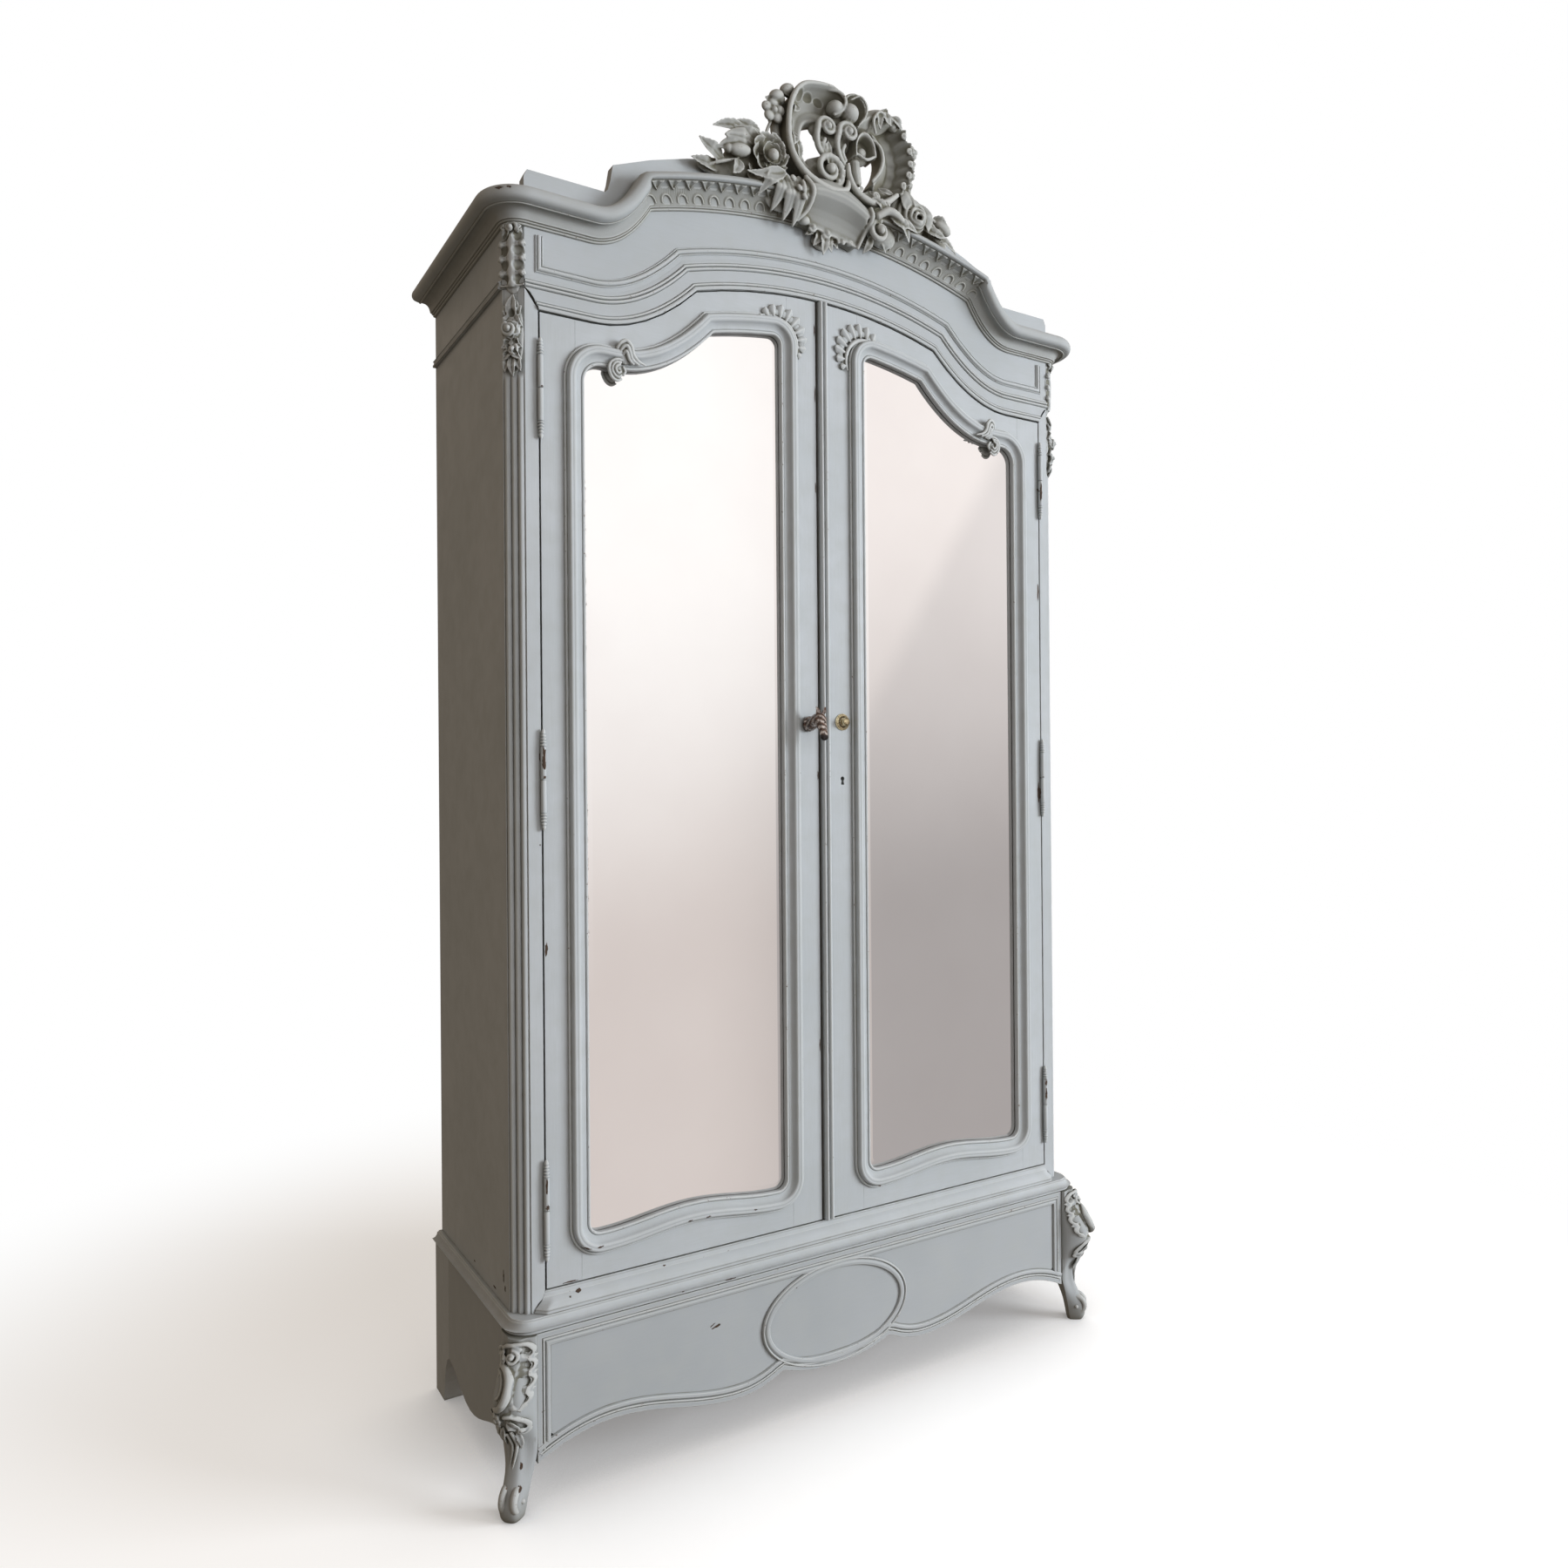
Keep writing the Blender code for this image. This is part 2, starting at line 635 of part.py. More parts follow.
def dust_board(wood):
    """The roof of the cabinet, notched round the corner blocks."""
    wide, narrow = HALF_WIDTH - BOARD - GAP, POST_FLAT
    front, back = 0.0225, BACK - 0.0005
    plan = [
        (-narrow, front), (narrow, front), (narrow, POST_DEPTH + GAP), (wide, POST_DEPTH + GAP),
        (wide, back), (-wide, back), (-wide, POST_DEPTH + GAP), (-narrow, POST_DEPTH + GAP),
    ]
    upright("dust_board", plan, DUST_BOARD_Z, DUST_BOARD_Z + 0.012, wood)


def build_crown(paint, wood):
    crown_frieze(paint)
    crown_side("crown_side_left", -1, paint)
    crown_side("crown_side_right", 1, paint)
    dust_board(wood)
    cornice(paint)
    crest(paint)


# ---- doors --------------------------------------------------------------------------------------
# (outwards from the mirror's visible edge, depth)
SURROUND_SECTION = (
    (0.0000, 0.0070),
    (0.0000, -0.0030),
    (0.0035, -0.0060),
    (0.0080, -0.0045),
    (0.0160, -0.0095),
    (0.0250, -0.0115),
    (0.0310, -0.0085),
    (0.0345, -0.0055),
    (MOULD_WIDTH, -0.0040),
    (MOULD_WIDTH, -GAP),
    (REBATE - GAP, -GAP),
    (REBATE - GAP, 0.0070),
)


def surround(name, side, paint):
    """The bolection moulding round the mirror: it laps over the frame and holds the glass."""
    loops = [offset_loop(mirror_outline(), out) for out, _ in SURROUND_SECTION]
    rings = []
    for i in range(len(loops[0])):
        ring = []
        for loop, (_, depth) in zip(loops, SURROUND_SECTION):
            ring.append((side * loop[i][0], FACE_Y + depth, loop[i][1]))
        rings.append(ring)
    return loft(name, rings, paint, closed=True)


def hinge_half(name, side, height, up, steel):
    """Half of a hinge: a barrel with a turned finial, and its leaf in the gap beside the door."""
    way = 1 if up else -1
    profile = [
        (0.0, 0.001), (BARREL_RADIUS, 0.001), (BARREL_RADIUS, 0.060), (0.0052, 0.061), (0.0052, 0.064),
        (0.0032, 0.066), (0.0046, 0.070), (0.0030, 0.074), (0.0042, 0.078), (0.0026, 0.082), (0.0, 0.090),
    ]
    profile = [(r, way * h) for r, h in profile]
    if up:
        profile.reverse()
    place_at = (side * HINGE_U, FACE_Y + HINGE_DEPTH, height)
    barrel = turned(name, profile, place_at, (0, 0, 0), steel, steps=10)
    near, far = (-0.0010, -0.0001) if up else (0.0002, 0.0012)
    leaf_u = sorted((side * (HINGE_U + near), side * (HINGE_U + far)))
    leaf_z = sorted((height + way * 0.003, height + way * 0.057))
    leaf = box(f"{name}_leaf", leaf_u, (HINGE_DEPTH, 0.022), leaf_z, steel, collection=CUTTERS)
    join_or_cut(barrel, leaf, "UNION")
    return barrel


def keyhole():
    """A round eye over a flared slot, in the right door's free stile."""
    x = KNOB_RIGHT[0]
    eye, eye_z = 0.0046, LOCK_Z + 0.0030
    return arc((x, eye_z), eye, -60, 240, 10) + [(x - 0.0036, LOCK_Z - 0.009), (x + 0.0036, LOCK_Z - 0.009)]


def door_frame(word, side, paint):
    """Stiles and rails round the mirror's opening. The head follows the frieze above it."""
    inner, outer = SIGHT_INNER - REBATE, SIGHT_OUTER + REBATE
    free = MEETING_EDGE[side]
    depth = (0.0, DOOR_THICK)
    top = [(u, z - HEAD_CLEARANCE) for u, z in DOOR_HEAD.points(outer - GAP, inner + GAP)]
    pieces = []
    hinge_top = DOOR_HEAD.side_z - HEAD_CLEARANCE
    stile = [(outer, DOOR_BOTTOM), (DOOR_OUTER, DOOR_BOTTOM), (DOOR_OUTER, hinge_top), (outer, hinge_top)]
    pieces.append(front_board(f"{word}_door_hinge_stile", mirrored(stile, side), *depth, paint))
    stile = [(free, DOOR_BOTTOM), (inner, DOOR_BOTTOM)]
    for u in (inner, (free + inner) / 2, free):
        stile.append((u, DOOR_HEAD.z(u) - HEAD_CLEARANCE))
    holes = (keyhole(),) if side > 0 else ()
    pieces.append(front_board(f"{word}_door_lock_stile", mirrored(stile, side), *depth, paint, holes))
    pieces.append(
        front_board(f"{word}_door_top_rail", mirrored(frame_edge(False) + top, side), *depth, paint)
    )
    bottom = frame_edge(True) + [(outer - GAP, DOOR_BOTTOM), (inner + GAP, DOOR_BOTTOM)]
    pieces.append(front_board(f"{word}_door_bottom_rail", mirrored(bottom, side), *depth, paint))
    return pieces


def mirror_and_backing(word, side, glass, wood):
    edge = mirrored(offset_loop(mirror_outline(), REBATE - 0.0005), side)
    mirror = front_board(f"{word}_door_mirror", edge, 0.0073, 0.0123, glass)
    backing = front_board(f"{word}_door_backing", edge, 0.0127, 0.0187, wood)
    return [mirror, backing]


def astragal(paint):
    """The ribbed strip on the right door that hides the gap between the doors."""
    low, high = -0.0125, 0.0075
    plan = [(low, -GAP), (low, -0.0060)]
    for k in range(2):
        centre = low + (high - low) * (0.27 + 0.46 * k)
        plan += [(a, d) for a, d in arc((centre, -0.0070), 0.0040, 180, 360, 5)]
    plan += [(high, -0.0060), (high, -GAP)]
    top = DOOR_HEAD.z(high) - HEAD_CLEARANCE
    return upright("astragal", plan, DOOR_BOTTOM, top, paint)


def brass_knob(brass):
    profile = [
        (0.0, 0.0200), (0.0045, 0.0192), (0.0078, 0.0165), (0.0088, 0.0130), (0.0068, 0.0095),
        (0.0056, 0.0068), (0.0100, 0.0058), (0.0148, 0.0046), (0.0165, 0.0025), (0.0165, GAP), (0.0, GAP),
    ]
    spot = (KNOB_RIGHT[0], FACE_Y, KNOB_RIGHT[1])
    return turned("brass_knob", profile, spot, (math.pi / 2, 0, 0), brass, steps=16)


def ball(name, centre, radii, tilt, material):
    """An ellipsoid at (x, depth, z), tilted about x."""
    bm = bmesh.new()
    shape = Matrix.Translation((centre[0], FACE_Y + centre[1], centre[2]))
    shape = shape @ Matrix.Rotation(tilt, 4, "X") @ Matrix.Diagonal((*radii, 1.0))
    bmesh.ops.create_uvsphere(bm, u_segments=12, v_segments=8, radius=1.0, matrix=shape)
    return place_bmesh(name, bm, material, CUTTERS)


def zebra_knob(bronze):
    """An animal-head pull: rose, neck, head and muzzle, and two ears."""
    x, z = KNOB_LEFT
    profile = [(0.0, 0.018), (0.013, 0.017), (0.0155, 0.010), (0.0145, GAP), (0.0, GAP)]
    knob = turned("zebra_knob", profile, (x, FACE_Y, z), (math.pi / 2, 0, 0), bronze, steps=14)
    ear = (0.0036, 0.0046, 0.0095)
    parts = [
        ball("knob_neck", (x, -0.026, z + 0.002), (0.0130, 0.0210, 0.0145), 0.25, bronze),
        ball("knob_head", (x, -0.042, z + 0.007), (0.0128, 0.0145, 0.0155), 0.40, bronze),
        ball("knob_muzzle", (x, -0.051, z - 0.014), (0.0088, 0.0105, 0.0205), -0.30, bronze),
        ball("knob_ear_left", (x - 0.0105, -0.043, z + 0.0205), ear, 0.1, bronze),
        ball("knob_ear_right", (x + 0.0105, -0.043, z + 0.0205), ear, 0.1, bronze),
    ]
    for part in parts:
        join_or_cut(knob, part, "UNION")
    return knob


def build_doors(paint, wood, glass, steel, brass, bronze):
    """Both doors with their hinges. The lower half of each hinge stays on its post."""
    for side, word in ((-1, "left"), (1, "right")):
        pieces = door_frame(word, side, paint)
        pieces.append(surround(f"{word}_door_surround", side, paint))
        pieces += mirror_and_backing(word, side, glass, wood)
        for number, height in enumerate(HINGE_HEIGHTS, 1):
            hinge_half(f"hinge_pin_{word}_{number}", side, height, False, steel)
            pieces.append(hinge_half(f"hinge_sleeve_{word}_{number}", side, height, True, steel))
        pieces += [zebra_knob(bronze)] if side < 0 else [brass_knob(brass), astragal(paint)]
        joint_empty(f"{word}_door_axis", side * HINGE_U, HINGE_DEPTH, DOOR_BOTTOM, pieces)
    lock = box("lock_bolt", (-0.0105, 0.055), BOLT_DEPTH, (LOCK_Z - 0.012, LOCK_Z + 0.012), steel)
    joint_empty("lock_bolt_axis", 0.0, 0.030, LOCK_Z, [lock])
    bolt = box("left_door_bolt", (-0.056, -0.040), BOLT_DEPTH, (1.990, 2.144), steel)
    joint_empty("left_door_bolt_axis", -0.048, 0.030, 2.0, [bolt])


# ---- drawer -------------------------------------------------------------------------------------
def build_drawer(paint, wood):
    face_back = DRAWER_FACE + DRAWER_THICK
    left = mirrored([(DRAWER_HALF, DRAWER_TOP)] + apron_points(-1), -1)
    right = ([(DRAWER_HALF, DRAWER_TOP)] + apron_points(1))[::-1]
    pieces = [front_board("drawer_front", left + right[1:], DRAWER_FACE, face_back, paint)]
    outer, inner = 0.590, 0.578
    low, high = DRAWER_BOX_Z
    start = face_back + GAP
    for side, word in ((-1, "left"), (1, "right")):
        width = sorted((side * inner, side * outer))
        pieces.append(box(f"drawer_side_{word}", width, (start, DRAWER_BOX_BACK), (low, high), wood))
    width = (-inner + GAP, inner - GAP)
    back_start = DRAWER_BOX_BACK - 0.012
    pieces.append(box("drawer_back", width, (back_start, DRAWER_BOX_BACK), (low, high), wood))
    pieces.append(box("drawer_bottom", width, (start, back_start - GAP), (low + 0.005, low + 0.012), wood))
    joint_empty("drawer_axis", 0.0, DRAWER_FACE, (low + high) / 2, pieces)


def main():
    global PARTS, CUTTERS
    clear_scene()
    PARTS = new_collection("armoire")
    CUTTERS = new_collection("cutters")
    paint = principled("painted_wood", (0.42, 0.46, 0.47), 0.55)
    wood = principled("bare_wood", (0.36, 0.23, 0.13), 0.65)
    glass = principled("mirror_glass", (0.90, 0.88, 0.86), 0.04, 1.0)
    steel = principled("painted_iron", (0.36, 0.39, 0.39), 0.50, 0.2)
    brass = principled("brass", (0.78, 0.62, 0.30), 0.28, 1.0)
    bronze = principled("dark_bronze", (0.16, 0.10, 0.07), 0.45, 0.6)
    build_base(paint, wood)
    build_cabinet(paint, wood)
    build_crown(paint, wood)
    build_doors(paint, wood, glass, steel, brass, bronze)
    build_drawer(paint, wood)
    for obj in PARTS.objects:
        if obj.type == "MESH":
            obj.data.shade_smooth()
            obj.data.set_sharp_from_angle(angle=math.radians(35))


main()
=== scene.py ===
"""Looks for the two-door mirrored armoire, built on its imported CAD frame, in metres.

x runs across the front, z up, and the doors' front face is the plane y = FACE_Y. Depths are measured
back from that plane, so "proud" distances are negative depths. u is the distance from the centre
line, and side is -1 for the left and +1 for the right.
"""

import math

import bmesh
import bpy
import numpy as np
from mathutils import Matrix, Vector


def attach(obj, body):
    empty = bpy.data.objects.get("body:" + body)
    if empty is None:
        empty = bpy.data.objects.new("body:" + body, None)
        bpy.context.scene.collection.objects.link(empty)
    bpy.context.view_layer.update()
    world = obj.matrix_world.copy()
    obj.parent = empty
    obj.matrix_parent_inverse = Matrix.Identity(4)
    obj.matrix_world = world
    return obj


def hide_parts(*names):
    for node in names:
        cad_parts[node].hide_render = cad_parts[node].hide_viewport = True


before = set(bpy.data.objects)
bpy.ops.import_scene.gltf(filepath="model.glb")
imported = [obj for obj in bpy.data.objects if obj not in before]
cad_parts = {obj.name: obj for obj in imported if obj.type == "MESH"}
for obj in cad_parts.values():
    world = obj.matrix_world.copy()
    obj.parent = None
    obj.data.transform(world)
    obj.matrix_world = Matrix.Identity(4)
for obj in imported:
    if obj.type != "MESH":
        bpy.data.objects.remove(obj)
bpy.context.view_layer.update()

SIDES = ((-1, "left"), (1, "right"))

# ---- dimensions repeated from the CAD source --------------------------------------------------
FACE_Y = -0.194
GAP = 0.0003
BACK = 0.4525
HALF_WIDTH = 0.635
BASE_TOP = 0.2912
RING_TOP = 0.3145
SILL_TOP = 0.3485
CROWN_SEAM = 2.0475
POST_INNER = 0.5825
POST_FLAT = 0.606
CHAMFER = 0.029
DOOR_BOTTOM = 0.351
SIGHT_INNER, SIGHT_OUTER = 0.099, 0.501  # sides of the mirror's visible edge
REBATE = 0.0155
HINGE_U, HINGE_DEPTH = 0.5808, -0.0055
HINGE_HEIGHTS = (0.485, 1.215, 1.88)
KNOB_LEFT = (-0.041, 1.322)
KNOB_RIGHT = (0.0395, 1.3275)
DRAWER_HALF, DRAWER_TOP, DRAWER_FACE = 0.6065, 0.2905, -0.0254
LEFT_APRON_DROP = 0.008
NOSE_HALF, NOSE_DEPTH, NOSE_CORNER = 0.655, -0.033, 0.045
LEG_INNER = 0.607


class Hat:
    """A line that is level at the sides, sweeps up to a kink, and arches over the middle."""

    def __init__(self, flat, side_z, kink, crown_z):
        self.flat, self.side_z, self.crown_z = flat, side_z, crown_z
        self.kink_u, self.kink_z = kink
        rise = crown_z - self.kink_z
        self.radius = (self.kink_u**2 + rise**2) / (2 * rise)

    def z(self, u):
        u = abs(u)
        if u >= self.flat:
            return self.side_z
        if u >= self.kink_u:
            t = (self.flat - u) / (self.flat - self.kink_u)
            return self.side_z + (self.kink_z - self.side_z) * t * t
        return self.crown_z - self.radius + math.sqrt(self.radius**2 - u * u)

    def row(self, raised, start, flat_steps=4, sweep_steps=18, arch_steps=44):
        """(u, z) from u = start to the middle, raised squarely off the line, with a clean kink."""
        centre = self.crown_z - self.radius
        radius = self.radius + raised
        t = np.linspace(0.0, 1.6, 1600)
        du = self.kink_u - self.flat
        dz = 2 * (self.kink_z - self.side_z) * t
        length = np.hypot(du, dz)
        u = self.flat + du * t + raised * dz / length
        z = self.side_z + (self.kink_z - self.side_z) * t * t - raised * du / length
        inside = np.hypot(u, z - centre) < radius
        last = int(np.argmin(inside)) if not inside.all() else len(t) - 1
        u, z = u[: last + 1], z[: last + 1]
        along = np.concatenate(([0.0], np.cumsum(np.hypot(np.diff(u), np.diff(z)))))
        at = np.linspace(0.0, along[-1], sweep_steps + 1)
        sweep = np.stack((np.interp(at, along, u), np.interp(at, along, z)), 1)
        flat_u = np.linspace(start, self.flat, flat_steps + 1)[:-1]
        flat = np.stack((flat_u, np.full(flat_steps, self.side_z + raised)), 1)
        top = math.atan2(u[-1], z[-1] - centre)
        turn = np.linspace(top, 0.0, arch_steps + 1)[1:]
        arch = np.stack((radius * np.sin(turn), centre + radius * np.cos(turn)), 1)
        return np.concatenate((flat, sweep, arch))


DOOR_HEAD = Hat(0.485, 2.0125, (0.279, 2.113), 2.153)
MIRROR_HEAD = Hat(0.44, 1.94, (0.245, 2.044), 2.073)
CORNICE_TOP = Hat(0.49, 2.201, (0.405, 2.279), 2.341)


# ---- camera and studio --------------------------------------------------------------------------
CAMERA_PLACE = (-1.2432, -2.0372, 1.2008)
CAMERA_YAW, CAMERA_PITCH, CAMERA_ROLL = 31.86, 0.118, -0.454  # degrees, fitted to the photo's edges


def make_camera():
    data = bpy.data.cameras.new("camera")
    data.lens, data.sensor_width = 25.88, 36.0
    data.clip_start, data.clip_end = 0.05, 100.0
    camera = bpy.data.objects.new("camera", data)
    yaw, pitch, roll = (math.radians(angle) for angle in (CAMERA_YAW, CAMERA_PITCH, CAMERA_ROLL))
    turn = Matrix.Rotation(-yaw, 3, "Z") @ Matrix.Rotation(math.pi / 2 + pitch, 3, "X")
    turn = turn @ Matrix.Rotation(roll, 3, "Z")
    camera.matrix_world = Matrix.Translation(CAMERA_PLACE) @ turn.to_4x4()
    bpy.context.scene.collection.objects.link(camera)
    bpy.context.scene.camera = camera


def nodes_of(owner):
    owner.use_nodes = True
    owner.node_tree.nodes.clear()
    return owner.node_tree


def node(tree, kind, inputs=None, **settings):
    """Adds a shader node. Inputs are values, or sockets to link from."""
    made = tree.nodes.new("ShaderNode" + kind)
    for key, value in settings.items():
        setattr(made, key, value)
    for key, value in (inputs or {}).items():
        socket = made.inputs[key]
        if isinstance(value, bpy.types.NodeSocket):
            tree.links.new(value, socket)
        else:
            socket.default_value = value
    return made


def maths(tree, operation, a, b, clamp=False):
    return node(tree, "Math", {0: a, 1: b, 2: 0.0}, operation=operation, use_clamp=clamp).outputs[0]


def times(tree, a, b):
    return maths(tree, "MULTIPLY", a, b)


def plus(tree, a, b):
    return maths(tree, "ADD", a, b)


def spread(tree, value, low, high, to_low=0.0, to_high=1.0, smooth=False):
    """Maps low..high onto to_low..to_high."""
    kind = "SMOOTHSTEP" if smooth else "LINEAR"
    inputs = {"Value": value, "From Min": low, "From Max": high, "To Min": to_low, "To Max": to_high}
    return node(tree, "MapRange", inputs, interpolation_type=kind).outputs["Result"]


def mix(tree, amount, a, b):
    return node(tree, "Mix", {0: amount, 6: a, 7: b}, data_type="RGBA").outputs[2]


def noise(tree, where, scale, detail, **more):
    inputs = {"Vector": where, "Scale": scale, "Detail": detail, **more}
    return node(tree, "TexNoise", inputs).outputs["Fac"]


def openness(tree, distance, samples=4):
    """1 in the open, towards 0 where other surfaces stand within this distance."""
    return node(tree, "AmbientOcclusion", {"Distance": distance}, samples=samples).outputs["AO"]


def attribute(tree, name):
    return node(tree, "Attribute", attribute_name=name).outputs["Fac"]


def emission(tree, colour, strength=1.0):
    return node(tree, "Emission", {"Color": colour, "Strength": strength}).outputs[0]


def rgb(r, g, b):
    return (r, g, b, 1.0)


WHITE = rgb(1.0, 1.0, 1.0)


def new_material(name):
    """A material, its emptied node tree, and each point's place in the object's own frame."""
    material = bpy.data.materials.new(name)
    tree = nodes_of(material)
    return material, tree, node(tree, "TexCoord").outputs["Object"]


def surface(tree, shader):
    node(tree, "OutputMaterial", {"Surface": shader})


def principled(tree, colour, roughness, bump, more=None):
    """bump is (strength, distance, height), or nothing."""
    inputs = {"Base Color": colour, "Roughness": roughness, **(more or {})}
    if bump:
        strength, distance, height = bump
        raised = {"Strength": strength, "Distance": distance, "Height": height}
        inputs["Normal"] = node(tree, "Bump", raised).outputs[0]
    surface(tree, node(tree, "BsdfPrincipled", inputs).outputs[0])


def plain_plane(name, corners, material):
    mesh = bpy.data.meshes.new(name)
    mesh.from_pydata(corners, [], [tuple(range(len(corners)))])
    mesh.materials.append(material)
    obj = bpy.data.objects.new(name, mesh)
    bpy.context.scene.collection.objects.link(obj)
    return obj


def make_floor():
    """A pale floor with a soft contact shadow painted into its colour and glow, which fades into the white
    background.
    """
    material, tree, where = new_material("studio_floor")
    far = node(tree, "VectorMath", {0: where}, operation="LENGTH").outputs["Value"]
    # painted contact shadow: colour and glow darken where the cabinet stands within half a metre
    open_sky = spread(tree, openness(tree, 0.5, 6), 0.25, 0.82, 0.5, 1.0)
    pale = mix(tree, open_sky, rgb(0.0, 0.0, 0.0), rgb(0.87, 0.9, 0.94))
    lit = node(tree, "BsdfDiffuse", {"Color": pale}).outputs[0]
    glow = emission(tree, WHITE, times(tree, open_sky, 0.42))
    near = node(tree, "AddShader", {0: lit, 1: glow}).outputs[0]
    fade = spread(tree, far, 1.0, 2.35, smooth=True)
    surface(tree, node(tree, "MixShader", {0: fade, 1: near, 2: emission(tree, WHITE)}).outputs[0])
    size = 14.0
    corners = [(-size, -size, 0), (size, -size, 0), (size, size, 0), (-size, size, 0)]
    floor = plain_plane("studio_floor", corners, material)
    floor.visible_diffuse = False
    floor.visible_glossy = False


def make_reflection_card():
    """A broad sheet of light in front that only glossy rays see: it is what the mirrors show."""
    material, tree, where = new_material("studio_card")
    parts = node(tree, "SeparateXYZ", {0: where})
    x, z = parts.outputs["X"], parts.outputs["Z"]
    cloud = noise(tree, where, 0.35, 1.0)
    lean = plus(tree, z, times(tree, maths(tree, "SUBTRACT", cloud, 0.5), 1.6))
    high = spread(tree, lean, -0.3, 3.0, smooth=True)
    higher = spread(tree, lean, 0.2, 3.5, smooth=True)
    near = mix(tree, high, rgb(0.72, 0.655, 0.63), rgb(1.12, 1.1, 1.09))
    far = mix(tree, higher, rgb(0.46, 0.425, 0.415), rgb(1.0, 0.94, 0.92))
    colour = mix(tree, spread(tree, x, 2.0, 3.6, smooth=True), near, far)
    # a slanting edge, as of a sunbeam on a wall
    slant = plus(tree, x, times(tree, z, -0.62))
    beam = spread(tree, slant, 2.2, 2.5, smooth=True)
    beam = times(tree, beam, spread(tree, x, 3.0, 3.3, smooth=True))
    colour = mix(tree, times(tree, beam, 0.22), colour, rgb(0.34, 0.34, 0.36))
    surface(tree, emission(tree, colour))
    card = plain_plane("studio_card", [(-9, -4.7, -5), (9, -4.7, -5), (9, -4.7, 8), (-9, -4.7, 8)], material)
    card.visible_camera = False
    card.visible_diffuse = False
    card.visible_shadow = False
    card.visible_transmission = False


def make_world():
    """White to the camera; a warm fill, darker from below, to everything else."""
    world = bpy.data.worlds.new("studio")
    bpy.context.scene.world = world
    tree = nodes_of(world)
    to_camera = node(tree, "LightPath").outputs["Is Camera Ray"]
    where = node(tree, "TexCoord").outputs["Generated"]
    height = node(tree, "SeparateXYZ", {0: where}).outputs["Z"]
    fill = mix(tree, spread(tree, height, -0.6, 0.7), rgb(0.13, 0.102, 0.072), rgb(0.375, 0.308, 0.24))
    colour = mix(tree, to_camera, fill, WHITE)
    background = node(tree, "Background", {"Color": colour, "Strength": 1.0})
    node(tree, "OutputWorld", {"Surface": background.outputs[0]})


def make_light(name, place, aim, size, power, colour):
    data = bpy.data.lights.new(name, "AREA")
    data.shape = "RECTANGLE"
    data.size, data.size_y = size
    data.energy, data.color = power, colour
    light = bpy.data.objects.new(name, data)
    light.location = place
    light.rotation_euler = (Vector(aim) - Vector(place)).to_track_quat("-Z", "Y").to_euler()
    light.visible_glossy = False
    light.visible_camera = False
    bpy.context.scene.collection.objects.link(light)


def make_studio():
    bpy.context.scene.view_settings.view_transform = "Standard"
    make_floor()
    make_reflection_card()
    make_world()
    make_light("key", (5.5, -5.0, 2.3), (0.0, 0.0, 1.1), (3.3, 2.8), 620.0, (0.97, 0.985, 1.0))
    make_light("front", (0.3, -5.0, 1.9), (0.0, 0.0, 1.2), (2.5, 2.5), 60.0, (0.97, 0.98, 1.0))


# ---- materials ----------------------------------------------------------------------------------
PAINT_DEEP, PAINT_LIGHT = (0.4, 0.44, 0.474), (0.452, 0.491, 0.53)
ACROSS, ALONG_Z, ANY_WAY = (0.06, 1.0, 1.0), (1.0, 1.0, 0.06), (0.5, 0.5, 0.5)  # stretch of the strokes


